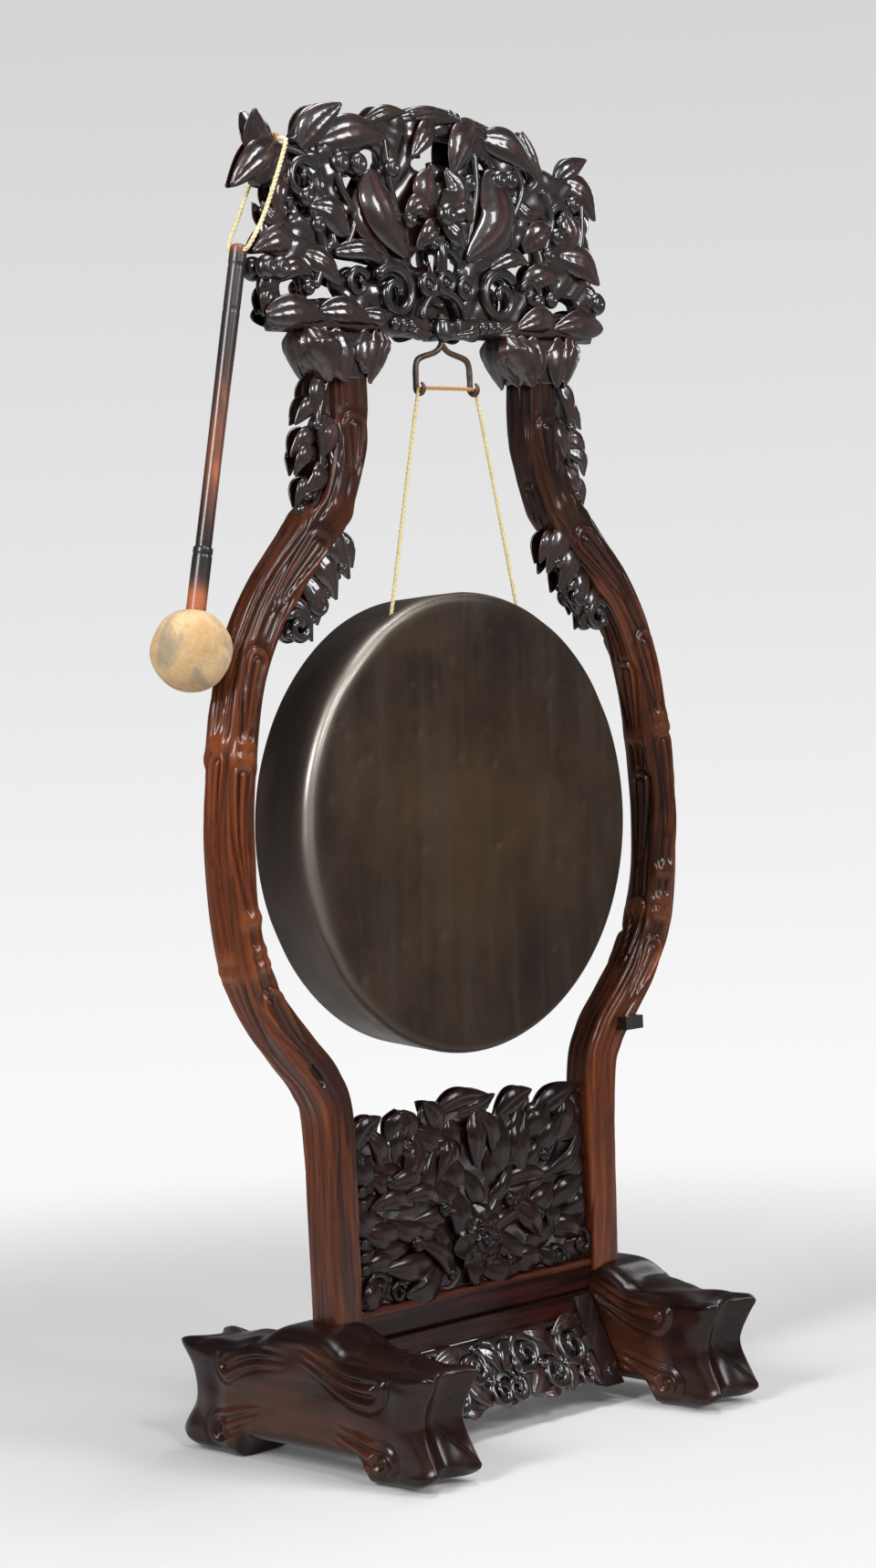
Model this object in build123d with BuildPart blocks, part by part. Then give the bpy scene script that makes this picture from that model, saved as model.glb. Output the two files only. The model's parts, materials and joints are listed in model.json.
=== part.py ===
"""Tam tam gong on a carved hardwood floor stand, with its hanger, cords and mallet.

Millimetres. X runs along the stand, -Y is the gong's front, +Z is up. The origin is on the
floor, midway between the two feet.
"""

import os
from math import atan2, cos, pi, radians, sin, sqrt, tan

from build123d import *

# ---------------------------------------------------------------- feet
foot_inner_x = 212.0
foot_width = 121.0
foot_length = 466.0
foot_top_z = 158.0
foot_hump_z = 184.0
foot_arch_z = 27.0
foot_pad_length = 92.0
foot_toe = 19.0
foot_waist_depth = 45.0
foot_horn_z = 38.0
foot_shoulder_z = 138.0

# ---------------------------------------------------------------- posts
post_depth = 58.0
post_corner = 11.0
post_top_z = 1447.0
# Right post, bottom to top: centre x, height and width of each section. The two lowest stand on
# the foot, and the others keep their distance from the post's top, so a taller post has a longer
# straight leg.
post_stations = [(248.5, foot_top_z, 55.0), (248.5, foot_top_z + 62.0, 55.0)] + [
    (x, post_top_z - drop, width)
    for x, drop, width in (
        (252.0, 1017.0, 58.0),
        (272.0, 953.0, 58.0),
        (312.0, 907.0, 57.0),
        (350.0, 863.0, 56.0),
        (382.0, 807.0, 54.0),
        (398.0, 737.0, 52.0),
        (403.0, 657.0, 52.0),
        (400.0, 597.0, 52.0),
        (391.0, 517.0, 53.0),
        (377.0, 447.0, 54.0),
        (352.0, 385.0, 56.0),
        (314.0, 326.0, 58.0),
        (262.0, 271.0, 60.0),
        (214.0, 219.0, 60.0),
        (188.0, 157.0, 58.0),
        (180.0, 92.0, 56.0),
        (184.0, 0.0, 58.0),
    )
]

# ---------------------------------------------------------------- loose tenons
joint_clearance = 0.2
joint_relief = 0.5
foot_tenon = (24.0, 24.0, 80.0)
crest_tenon = (24.0, 16.0, 60.0)
rail_tenon = (40.0, 24.0, 12.0)

# Rest peg in the right post, and the leafy heads of the posts.
peg_size = (35.0, 40.0, 18.0)
peg_proud = 14.0
peg_x = 300.0
peg_z = post_top_z - 937.0
capital_sides = (102.0, 265.0)
capital_drop = 60.0
capital_half_depth = 36.0
capital_foot_width = 76.0
capital_corner = 12.0

# ---------------------------------------------------------------- rail, panel and apron
rail_bottom_z = 121.0
rail_top_z = 148.0
rail_half_depth = 22.0
panel_front_y = -20.0
panel_back_y = 10.0
panel_top_z = foot_top_z + 257.0
panel_housing = 5.0
panel_leaf_tips = (-172, -124, -80, -32, 8, 50, 100, 148)
post_inner_x = 221.0
apron_slope = 26.0
apron_thickness = 16.0
apron_drop = 100.0
stile_width = 35.0
stile_bottom_z = 28.0
stile_lap = 24.0
stile_thickness = 20.0
button_radius = 7.0
button_proud = 3.0
button_depth = 12.0
button_z = 46.0

# ---------------------------------------------------------------- crest
crest_front_y = -18.0
crest_back_y = 16.0
crest_half_length = 305.0
crest_bar_height = 38.0
lug_half_width = 20.0
lug_drop = 4.0
lug_top_z = post_top_z + 23.0
recess_half_width = 40.0
recess_height = 35.0
recess_back_y = 8.0
# Leaves of the right half: x, height over the posts, length, width and turn. Then those of the left half.
crest_leaves = [
    (60, 153, 130, 190, 0),
    (60, 243, 190, 120, 0),
    (150, 218, 150, 120, -12),
    (160, 143, 150, 150, 0),
    (218, 193, 110, 90, -20),
    (250, 123, 130, 110, 10),
    (255, 213, 110, 42, -30),
    (285, 153, 76, 46, 18),
    (270, 63, 100, 76, -30),
    (100, 73, 190, 110, 0),
]
crest_leaves_left = [
    (-60, 153, 130, 190, 0),
    (-60, 243, 190, 120, 0),
    (-150, 218, 150, 120, 12),
    (-160, 143, 150, 150, 0),
    (-218, 198, 110, 100, 10),
    (-250, 123, 130, 120, -10),
    (-300, 197, 116, 56, 34),
    (-282, 153, 86, 60, -18),
    (-270, 63, 100, 76, 30),
    (-100, 73, 190, 110, 0),
]
# Openings where light comes through the carving: x, height, length, width and turn.
crest_gaps = [
    (-115, 225, 22, 16, 0),
    (-155, 188, 22, 18, 0),
    (20, 243, 56, 18, 0),
    (88, 223, 20, 14, 0),
    (125, 185, 20, 16, 0),
    (-160, 133, 24, 18, 0),
    (-150, 88, 66, 18, -8),
    (140, 83, 66, 18, 8),
    (175, 113, 22, 18, 0),
    (-265, 53, 24, 16, 0),
    (245, 43, 24, 16, 0),
    (-85, 53, 36, 36, 0),
    (112, 53, 36, 36, 0),
]

# ---------------------------------------------------------------- hanger
wire_radius = 4.0
hanger_y = -10.0
hanger_bore_clearance = 0.06
hanger_fork_z = post_top_z - 13.0
hanger_elbow_z = post_top_z - 25.0
hook_x = 49.0
hook_z = post_top_z - 67.0
hook_bend = 10.0
hook_tip = 9.0
washer_radius = 11.0
washer_thickness = 3.0
head_height = 5.0
head_radius = 6.0
axial_play = 0.3

# ---------------------------------------------------------------- gong and its cord
gong_radius = 305.0
gong_rim_radius = gong_radius - 7.0
gong_depth = 105.0
gong_wall = 3.0
gong_shoulder = 15.0
gong_axis_z = hook_z - 572.0
gong_hole_x = 120.0
gong_hole_clearance = 0.45
gong_cord_radius = 2.75
cord_hook_clearance = 0.3
gong_knot_radius = 8.0

# ---------------------------------------------------------------- mallet
mallet_top = Vector(-346.0, 0.0, post_top_z + 107.0)
mallet_ball = Vector(-442.8, 12.0, post_top_z - 396.3)
ball_radius = 52.0
cover_thickness = 4.5
handle_radius = 10.5
handle_tip_radius = 11.0
handle_tip_length = 26.0
handle_groove = 1.2
handle_in_core = 34.0
sleeve_radius = 12.5
sleeve_length = 80.0
mallet_hole_down = 9.0
loop_radius = 3.0
loop_hole_clearance = 1.0
loop_knot_radius = 5.0
loop_face_clearance = 1.5
loop_top_z = post_top_z + 242.0

os.makedirs("parts", exist_ok=True)


def write(builder, name):
    """Label a finished piece and write its STEP file."""
    builder.part.label = name
    export_step(builder.part, f"parts/{name}.step")


def blob(x, z, length, width, turn=0.0):
    """One leaf or fruit outline in the current sketch."""
    with Locations((x, z)):
        Ellipse(length / 2, width / 2, rotation=turn)


def tenon_box(size, centre, grow=0.0, lift=0.0):
    """A loose tenon, or with grow and lift the mortise that it sits in."""
    box = Box(size[0] + 2 * grow, size[1] + 2 * grow, size[2] + lift, mode=Mode.PRIVATE)
    return Pos(centre[0], centre[1], centre[2] + lift / 2) * box


# Places that follow from the sizes above.
post_bottom_x = post_stations[0][0]
post_bottom_outer_x = post_bottom_x + post_stations[0][2] / 2
post_top_x = post_stations[-1][0]
foot_tenon_at = (post_bottom_x, 0, foot_top_z)
crest_tenon_at = (post_top_x, (crest_front_y + crest_back_y) / 2, post_top_z)
rail_tenon_at = (foot_inner_x, 0, (rail_bottom_z + rail_top_z) / 2)

foot_mortise = tenon_box(foot_tenon, foot_tenon_at, joint_clearance, joint_relief)
crest_mortise = tenon_box(crest_tenon, crest_tenon_at, joint_clearance, joint_relief)
rail_mortise = Pos(*rail_tenon_at) * Box(
    rail_tenon[0] + 2 * joint_relief,
    rail_tenon[1] + 2 * joint_clearance,
    rail_tenon[2] + 2 * joint_clearance,
)
rail_mortise = Pos(0, 0, joint_clearance) * rail_mortise

# ---------------------------------------------------------------- feet
with BuildPart() as right_foot:
    with BuildSketch(Plane.YZ.offset(foot_inner_x)) as foot_profile:
        end_y = foot_length / 2
        pad_outer_y = end_y - foot_toe
        pad_inner_y = pad_outer_y - foot_pad_length
        with BuildLine():
            arch = Line((0, foot_arch_z), (pad_inner_y - 24, foot_arch_z))
            inner = RadiusArc(arch @ 1, (pad_inner_y, 0), 34)
            pad = Line(inner @ 1, (pad_outer_y, 0))
            horn = RadiusArc(pad @ 1, (end_y - 6, foot_horn_z), -24)
            waist = ThreePointArc(
                horn @ 1,
                (end_y - foot_waist_depth, (foot_horn_z + foot_shoulder_z) / 2),
                (end_y, foot_shoulder_z),
            )
            shoulder = RadiusArc(waist @ 1, (end_y - 22, foot_top_z - 6), -16)
            top = Line(shoulder @ 1, (112, foot_top_z))
            hump = ThreePointArc(top @ 1, (86, foot_top_z + 9), (62, foot_hump_z - 2))
            Polyline(hump @ 1, (0, foot_hump_z), arch @ 0)
        make_face()
        mirror(about=Plane.YZ)
    extrude(amount=foot_width)
    with Locations((foot_inner_x, 0, foot_top_z)):
        Box(
            2 * (post_bottom_outer_x + joint_clearance - foot_inner_x),
            post_depth + 2 * joint_clearance,
            foot_top_z,
            align=(Align.CENTER, Align.CENTER, Align.MIN),
            mode=Mode.SUBTRACT,
        )
    add(foot_mortise, mode=Mode.SUBTRACT)
    add(rail_mortise, mode=Mode.SUBTRACT)
write(right_foot, "right_foot")

with BuildPart() as left_foot:
    mirror(right_foot.part, about=Plane.YZ)
write(left_foot, "left_foot")


# ---------------------------------------------------------------- posts
def station_plane(index):
    """The plane of one post section, square to the post's run and level at both ends."""
    x, z, width = post_stations[index]
    if index in (0, len(post_stations) - 1):
        return Plane(origin=(x, 0, z), x_dir=(1, 0, 0), z_dir=(0, 0, 1))
    before, after = post_stations[index - 1], post_stations[index + 1]
    run_x, run_z = after[0] - before[0], after[1] - before[1]
    return Plane(origin=(x, 0, z), x_dir=(run_z, 0, -run_x), z_dir=(run_x, 0, run_z))


with BuildPart() as trunk:
    for index, station in enumerate(post_stations):
        with BuildSketch(station_plane(index)):
            RectangleRounded(station[2], post_depth, post_corner)
    loft(ruled=True)

panel_groove_height = panel_top_z + 18 - foot_top_z
panel_middle_y = (panel_front_y + panel_back_y) / 2
panel_groove = Pos(post_inner_x, panel_middle_y, foot_top_z + panel_groove_height / 2) * Box(
    2 * (panel_housing + joint_clearance),
    panel_back_y - panel_front_y + 2 * joint_clearance,
    panel_groove_height,
)

peg_at = (peg_x, -post_depth / 2 - peg_proud + peg_size[1] / 2, peg_z)
peg_slot = tenon_box(
    (peg_size[0] + 2 * joint_clearance, peg_size[1], peg_size[2]), peg_at, 0.0, joint_clearance
)

with BuildPart() as right_post:
    add(trunk.part)
    add(foot_mortise, mode=Mode.SUBTRACT)
    add(crest_mortise, mode=Mode.SUBTRACT)
    add(panel_groove, mode=Mode.SUBTRACT)
    add(peg_slot, mode=Mode.SUBTRACT)
write(right_post, "right_post")

with BuildPart() as left_post:
    mirror(right_post.part, about=Plane.YZ)
write(left_post, "left_post")

with BuildPart() as rest_peg:
    add(tenon_box(peg_size, peg_at))
write(rest_peg, "rest_peg")

# ---------------------------------------------------------------- neck carvings
with BuildPart() as right_capital:
    middle = sum(capital_sides) / 2
    with BuildSketch(Plane.XY.offset(post_top_z)):
        with Locations((middle, 0)):
            RectangleRounded(capital_sides[1] - capital_sides[0], 2 * capital_half_depth, capital_corner)
    with BuildSketch(Plane.XY.offset(post_top_z - capital_drop)):
        with Locations((post_top_x, 0)):
            RectangleRounded(capital_foot_width, post_depth + 6, capital_corner)
    loft()
    add(trunk.part, mode=Mode.SUBTRACT)
write(right_capital, "right_capital")

neck_plane = Plane.XZ.shift_origin((0, 0, post_top_z))
with BuildPart() as right_bracket:
    with BuildSketch(neck_plane.offset(-12)):
        blob(262, -355, 96, 54, -38)
        blob(212, -289, 84, 44, -52)
    extrude(amount=30)
    add(trunk.part, mode=Mode.SUBTRACT)
write(right_bracket, "right_bracket")

with BuildPart() as right_spray:
    with BuildSketch(neck_plane.offset(-14)):
        blob(225, -147, 104, 26, 105)
        blob(243, -185, 64, 36, 24)
        blob(222, -112, 52, 30, 51)
        blob(258, -207, 32, 40)
    extrude(amount=34)
    add(trunk.part, mode=Mode.SUBTRACT)
write(right_spray, "right_spray")

for carving, name in (
    (right_capital, "left_capital"),
    (right_bracket, "left_bracket"),
    (right_spray, "left_spray"),
):
    with BuildPart() as mirrored:
        mirror(carving.part, about=Plane.YZ)
    write(mirrored, name)

# ---------------------------------------------------------------- loose tenons
for side, word in ((1, "right"), (-1, "left")):
    with BuildPart() as foot_key:
        add(tenon_box(foot_tenon, (side * foot_tenon_at[0], 0, foot_top_z)))
    write(foot_key, f"{word}_foot_tenon")
    with BuildPart() as crest_key:
        add(tenon_box(crest_tenon, (side * crest_tenon_at[0], crest_tenon_at[1], post_top_z)))
    write(crest_key, f"{word}_crest_tenon")
    with BuildPart() as rail_key:
        add(tenon_box(rail_tenon, (side * rail_tenon_at[0], 0, rail_tenon_at[2])))
    write(rail_key, f"{word}_rail_tenon")

# ---------------------------------------------------------------- base rail and panel
with BuildPart() as base_rail:
    with Locations((0, 0, (rail_bottom_z + rail_top_z) / 2)):
        Box(2 * foot_inner_x, 2 * rail_half_depth, rail_top_z - rail_bottom_z)
    add(rail_mortise, mode=Mode.SUBTRACT)
    add(rail_mortise.mirror(Plane.YZ), mode=Mode.SUBTRACT)
write(base_rail, "base_rail")

with BuildPart() as lower_panel:
    with BuildSketch(Plane.XZ.offset(-panel_back_y)):
        with Locations((0, rail_top_z)):
            Rectangle(
                2 * foot_inner_x,
                panel_top_z - 40 - rail_top_z,
                align=(Align.CENTER, Align.MIN),
            )
        with Locations((0, foot_top_z)):
            Rectangle(
                2 * (post_inner_x + panel_housing),
                panel_top_z - 12 - foot_top_z,
                align=(Align.CENTER, Align.MIN),
            )
        for tip_x in panel_leaf_tips:
            blob(tip_x, panel_top_z - 12, 46, 86)
        for side in (-1, 1):
            with Locations((side * (post_inner_x + panel_housing - 18), panel_top_z - 14)):
                Rectangle(36, 60)
    extrude(amount=panel_back_y - panel_front_y)
write(lower_panel, "lower_panel")

# ---------------------------------------------------------------- apron
slope = radians(apron_slope)
apron_top_y = -rail_half_depth - (stile_lap - 1.0) * tan(slope)
apron_plane = Plane(
    origin=(0, apron_top_y + 2.0, rail_bottom_z),
    x_dir=(1, 0, 0),
    z_dir=(0, -cos(slope), sin(slope)),
)
apron_half = foot_inner_x - stile_width

with BuildPart() as apron:
    with BuildSketch(apron_plane):
        with Locations((0, 12)):
            Rectangle(2 * apron_half, apron_drop, align=(Align.CENTER, Align.MAX))
        for place in range(5):
            blob((place - 2) * 68, 12 - apron_drop, 64, 26)
        for place in range(6):
            with Locations(((place - 2.5) * 58, -34)):
                Ellipse(19, 25, mode=Mode.SUBTRACT)
        for place in range(5):
            with Locations(((place - 2) * 58, -76)):
                Ellipse(17, 8, mode=Mode.SUBTRACT)
    extrude(amount=-apron_thickness)
    with Locations((0, 0, rail_bottom_z)):
        Box(
            2 * foot_inner_x,
            2 * foot_length,
            foot_length,
            align=(Align.CENTER, Align.CENTER, Align.MIN),
            mode=Mode.SUBTRACT,
        )
write(apron, "apron")

stile_top_z = rail_bottom_z + stile_lap
stile_foot_y = -rail_half_depth - (stile_top_z - stile_bottom_z) * tan(slope)
stile_level = stile_thickness / cos(slope)
for side, word in ((1, "right"), (-1, "left")):
    button_y = -rail_half_depth - (stile_top_z - button_z) * tan(slope)
    button_x = side * (foot_inner_x - stile_width / 2)
    button_plane = Plane(
        origin=(button_x, button_y, button_z),
        x_dir=(1, 0, 0),
        z_dir=(0, -cos(slope), sin(slope)),
    )
    with BuildPart() as stile:
        with BuildSketch(Plane.YZ.offset(side * (foot_inner_x - stile_width / 2))):
            with BuildLine():
                Polyline(
                    (-rail_half_depth, stile_top_z),
                    (stile_foot_y, stile_bottom_z),
                    (stile_foot_y + stile_level, stile_bottom_z),
                    (-rail_half_depth, stile_top_z - stile_level / tan(slope)),
                    close=True,
                )
            make_face()
        extrude(amount=stile_width / 2, both=True)
        with BuildSketch(button_plane):
            Circle(button_radius)
        extrude(amount=-button_depth, mode=Mode.SUBTRACT)
    write(stile, f"{word}_stile")
    with BuildPart() as button:
        with BuildSketch(button_plane.offset(-button_depth)):
            Circle(button_radius)
        extrude(amount=button_depth + button_proud)
        fillet(button.faces().sort_by(Axis(button_plane.origin, button_plane.z_dir))[-1].edges(), 2)
    write(button, f"{word}_button")

# ---------------------------------------------------------------- crest
bar_top_z = post_top_z + crest_bar_height

with BuildPart() as crest:
    with BuildSketch(neck_plane.offset(-crest_back_y)):
        with Locations((0, 0)):
            Rectangle(2 * crest_half_length, crest_bar_height, align=(Align.CENTER, Align.MIN))
        with Locations((0, lug_top_z - post_top_z)):
            Rectangle(
                2 * lug_half_width,
                lug_top_z - post_top_z + lug_drop,
                align=(Align.CENTER, Align.MAX),
            )
        for leaf in crest_leaves + crest_leaves_left:
            blob(*leaf)
        # The upturned leaf that the mallet's loop hangs from.
        with BuildLine():
            Polyline(
                (-262, 219),
                (-283, 232),
                (-303, 269),
                (-338, 271),
                (-340, 253),
                (-326, 229),
                (-300, 205),
                close=True,
            )
        make_face()
        for gap in crest_gaps:
            with Locations((gap[0], gap[1])):
                Ellipse(gap[2] / 2, gap[3] / 2, rotation=gap[4], mode=Mode.SUBTRACT)
    extrude(amount=crest_back_y - crest_front_y)
    with BuildSketch(Plane.XZ.offset(-crest_front_y)):
        with Locations((0, lug_top_z)):
            Rectangle(
                2 * recess_half_width,
                recess_height / 2,
                align=(Align.CENTER, Align.MIN),
            )
        with Locations((0, lug_top_z + recess_height / 2)):
            Ellipse(recess_half_width, recess_height / 2)
    extrude(amount=-(recess_back_y - crest_front_y), mode=Mode.SUBTRACT)
    with Locations((0, hanger_y, lug_top_z)):
        Cylinder(
            wire_radius + hanger_bore_clearance,
            2 * (lug_top_z - post_top_z + lug_drop),
            mode=Mode.SUBTRACT,
        )
    add(crest_mortise, mode=Mode.SUBTRACT)
    add(crest_mortise.mirror(Plane.YZ), mode=Mode.SUBTRACT)
write(crest, "crest")

# ---------------------------------------------------------------- hanger
bowl_radius = gong_cord_radius + cord_hook_clearance + wire_radius
cord_y = hanger_y - bowl_radius
washer_bottom_z = lug_top_z + axial_play
washer_top_z = washer_bottom_z + washer_thickness

with BuildPart() as hanger:
    with Locations((0, hanger_y, hanger_fork_z - wire_radius / 2)):
        Cylinder(
            wire_radius,
            washer_top_z + head_height - hanger_fork_z + wire_radius / 2,
            align=(Align.CENTER, Align.CENTER, Align.MIN),
        )
    with Locations((0, hanger_y, washer_top_z)):
        Cylinder(head_radius, head_height, align=(Align.CENTER, Align.CENTER, Align.MIN))
    for side in (1, -1):
        with BuildLine() as wire:
            arm = FilletPolyline(
                (0, hanger_y, hanger_fork_z),
                (side * hook_x, hanger_y, hanger_elbow_z),
                (side * hook_x, hanger_y, hook_z),
                radius=hook_bend,
            )
            bowl = ThreePointArc(
                (side * hook_x, hanger_y, hook_z),
                (side * hook_x, cord_y, hook_z - bowl_radius),
                (side * hook_x, cord_y - bowl_radius, hook_z),
            )
            Line(bowl @ 1, (side * hook_x, cord_y - bowl_radius, hook_z + hook_tip))
        with BuildSketch(Plane(origin=arm @ 0, z_dir=arm % 0)):
            Circle(wire_radius)
        sweep(path=wire.wire())
write(hanger, "hanger")

with BuildPart() as hanger_washer:
    with Locations((0, hanger_y, washer_bottom_z)):
        Cylinder(
            washer_radius,
            washer_thickness,
            align=(Align.CENTER, Align.CENTER, Align.MIN),
        )
        Cylinder(
            wire_radius,
            washer_thickness,
            align=(Align.CENTER, Align.CENTER, Align.MIN),
            mode=Mode.SUBTRACT,
        )
write(hanger_washer, "hanger_washer")

# ---------------------------------------------------------------- gong
# The disc and its rim balance about the cord's plane, so the gong hangs plumb.
gong_balance = (gong_radius * gong_wall / 2 + gong_depth**2) / (gong_radius + 2 * gong_depth)
gong_front_y = cord_y - gong_balance
gong_back_y = gong_front_y + gong_depth
rim_lean = (gong_radius - gong_rim_radius) / gong_depth
rim_at_cord = gong_radius - rim_lean * gong_balance
gong_hole_rise = sqrt((rim_at_cord - gong_wall / 2) ** 2 - gong_hole_x**2)

# The cord lies level across both hooks and runs straight down to the rim's two holes. Each hook
# turns it in two equal steps round the wire.
cord_bend = gong_cord_radius + cord_hook_clearance + wire_radius
drop_z = gong_axis_z + gong_hole_rise - hook_z
lean = pi / 2
for _ in range(20):
    first_x = hook_x + cord_bend * tan(lean / 4)
    second_x = first_x + 2 * cord_bend * tan(lean / 4) * cos(lean / 2)
    second_drop = 2 * cord_bend * tan(lean / 4) * sin(lean / 2)
    lean = atan2(-drop_z - second_drop, gong_hole_x - second_x)
turn_one = Vector(first_x, cord_y, hook_z)
turn_two = Vector(second_x, cord_y, hook_z - second_drop)
hole_middle = Vector(gong_hole_x, cord_y, gong_axis_z + gong_hole_rise)
drop_unit = (hole_middle - turn_two).normalized()
inward = Vector(-gong_hole_x, 0, -gong_hole_rise).normalized()
rim_lean_in = radians(drop_unit.get_angle(inward))
gong_hole_radius = (
    gong_cord_radius / cos(rim_lean_in) + gong_wall / 2 * tan(rim_lean_in) + gong_hole_clearance
)
# The knot sits on the cord's line where it just clears the inside of the leaning rim.
knot_reach = rim_at_cord - gong_wall - gong_knot_radius * (1 + rim_lean) - 0.1
from_axis = Vector(gong_hole_x, 0, gong_hole_rise)
along = from_axis.dot(drop_unit)
past_wall = -along - sqrt(along**2 - from_axis.dot(from_axis) + knot_reach**2)
knot_at = hole_middle + drop_unit * past_wall



with BuildPart() as gong:
    with BuildSketch(Plane.YZ.shift_origin((0, gong_front_y, gong_axis_z))):
        with BuildLine():
            outer = FilletPolyline(
                (0, 0),
                (0, gong_radius),
                (gong_depth, gong_rim_radius),
                radius=gong_shoulder,
            )
            inner = FilletPolyline(
                (gong_wall, 0),
                (gong_wall, gong_radius - gong_wall),
                (gong_depth, gong_rim_radius - gong_wall),
                radius=gong_shoulder - gong_wall,
            )
            Line(outer @ 0, inner @ 0)
            Line(outer @ 1, inner @ 1)
        make_face()
    revolve(axis=Axis((0, 0, gong_axis_z), (0, 1, 0)))
    for side in (1, -1):
        outward = Vector(side * gong_hole_x, 0, gong_hole_rise)
        rim_point = Vector(side * gong_hole_x, cord_y, gong_axis_z + gong_hole_rise)
        with BuildSketch(Plane(origin=rim_point, z_dir=outward)):
            Circle(gong_hole_radius)
        extrude(amount=4 * gong_wall, both=True, mode=Mode.SUBTRACT)
write(gong, "gong")


def left_of(point):
    """The same point on the other side of the stand."""
    return Vector(-point.X, point.Y, point.Z)


def route_radii(points):
    """Bend radii of a route, each as large as its two runs allow."""
    radii = []
    for at in range(1, len(points) - 1):
        before, after = points[at] - points[at - 1], points[at + 1] - points[at]
        half_turn = radians(before.get_angle(after)) / 2
        radii.append(0.45 * min(before.length, after.length) / tan(half_turn))
    return radii


gong_cord_points = [
    left_of(knot_at),
    left_of(turn_two),
    left_of(turn_one),
    turn_one,
    turn_two,
    knot_at,
]
gong_cord_radii = route_radii(gong_cord_points)
with BuildPart() as gong_cord:
    with BuildLine() as gong_route:
        FilletPolyline(*gong_cord_points, radius=gong_cord_radii)
    with BuildSketch(Plane(origin=gong_route.wire() @ 0, z_dir=gong_route.wire() % 0)):
        Circle(gong_cord_radius)
    sweep(path=gong_route.wire())
write(gong_cord, "gong_cord")

for centre, word in ((knot_at, "right"), (left_of(knot_at), "left")):
    with BuildPart() as gong_knot:
        with Locations(centre):
            Sphere(gong_knot_radius)
    write(gong_knot, f"{word}_gong_knot")

# ---------------------------------------------------------------- mallet
# The mallet is built along its own axis, which runs from the handle's top to the ball.
mallet_axis = (mallet_ball - mallet_top).normalized()
mallet_run = (mallet_ball - mallet_top).length
mallet_plane = Plane(origin=mallet_top, x_dir=Vector(0, 1, 0).cross(mallet_axis), z_dir=mallet_axis)
core_radius = ball_radius - cover_thickness
mallet_hole = mallet_top + mallet_axis * mallet_hole_down
sleeve_end = mallet_run - sqrt(ball_radius**2 - sleeve_radius**2)
handle_end = mallet_run - core_radius + handle_in_core

with BuildPart() as mallet_handle:
    with BuildSketch(mallet_plane.offset(2.0)):
        Circle(handle_tip_radius)
    extrude(amount=handle_tip_length - 2.0)
    with BuildSketch(mallet_plane):
        Circle(handle_tip_radius - 2.0)
    with BuildSketch(mallet_plane.offset(2.0)):
        Circle(handle_tip_radius)
    loft()
    with BuildSketch(mallet_plane.offset(handle_tip_length)):
        Circle(handle_radius - handle_groove)
    extrude(amount=handle_groove)
    with BuildSketch(mallet_plane.offset(handle_tip_length + handle_groove)):
        Circle(handle_radius)
    extrude(amount=handle_end - handle_tip_length - handle_groove)
    with BuildSketch(Plane(origin=mallet_hole, z_dir=(0, 1, 0))):
        Circle(loop_radius + loop_hole_clearance)
    extrude(amount=2 * handle_tip_radius, both=True, mode=Mode.SUBTRACT)
write(mallet_handle, "mallet_handle")

with BuildPart() as mallet_sleeve:
    with BuildSketch(mallet_plane.offset(sleeve_end - sleeve_length)):
        Circle(sleeve_radius)
        Circle(handle_radius, mode=Mode.SUBTRACT)
    extrude(amount=sleeve_length)
write(mallet_sleeve, "mallet_sleeve")

with BuildPart() as mallet_core:
    with Locations(mallet_ball):
        Sphere(core_radius)
    with BuildSketch(mallet_plane):
        Circle(handle_radius)
    extrude(amount=handle_end, mode=Mode.SUBTRACT)
write(mallet_core, "mallet_core")

with BuildPart() as mallet_cover:
    with Locations(mallet_ball):
        Sphere(ball_radius)
        Sphere(core_radius, mode=Mode.SUBTRACT)
    with BuildSketch(mallet_plane):
        Circle(sleeve_radius)
    extrude(amount=mallet_run, mode=Mode.SUBTRACT)
write(mallet_cover, "mallet_cover")

# The loop: over the crest behind its upturned leaf, down both faces, through the handle.
loop_front_y = crest_front_y - loop_radius - loop_face_clearance
loop_back_y = crest_back_y + loop_radius + loop_face_clearance
mouth = handle_tip_radius + loop_hole_clearance + 1.0
loop_points = [
    Vector(-277.0, -3.0, loop_top_z),
    Vector(-277.3, loop_front_y + 5.0, loop_top_z),
    Vector(-279.5, loop_front_y - 1.0, loop_top_z - 6.0),
    Vector(-322.0, loop_front_y, post_top_z + 141.0),
    mallet_hole + Vector(1.5, -mouth - 9.2, 9.0),
    mallet_hole + Vector(0, -mouth, 0),
    mallet_hole + Vector(0, mouth, 0),
    mallet_hole + Vector(1.5, mouth + 8.0, 9.0),
    Vector(-325.0, loop_back_y, post_top_z + 145.0),
    Vector(-280.0, loop_back_y + 1.0, loop_top_z - 6.0),
    Vector(-277.3, loop_back_y - 5.0, loop_top_z),
    Vector(-277.0, 1.0, loop_top_z),
]
loop_radii = route_radii(loop_points)
with BuildPart() as mallet_loop:
    with BuildLine() as loop_route:
        FilletPolyline(*loop_points, radius=loop_radii)
    with BuildSketch(Plane(origin=loop_route.wire() @ 0, z_dir=loop_route.wire() % 0)):
        Circle(loop_radius)
    sweep(path=loop_route.wire())
write(mallet_loop, "mallet_loop")

with BuildPart() as loop_knot:
    with Locations((-277.0, -1.0, loop_top_z + 4.0)):
        Sphere(loop_knot_radius)
write(loop_knot, "loop_knot")

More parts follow.
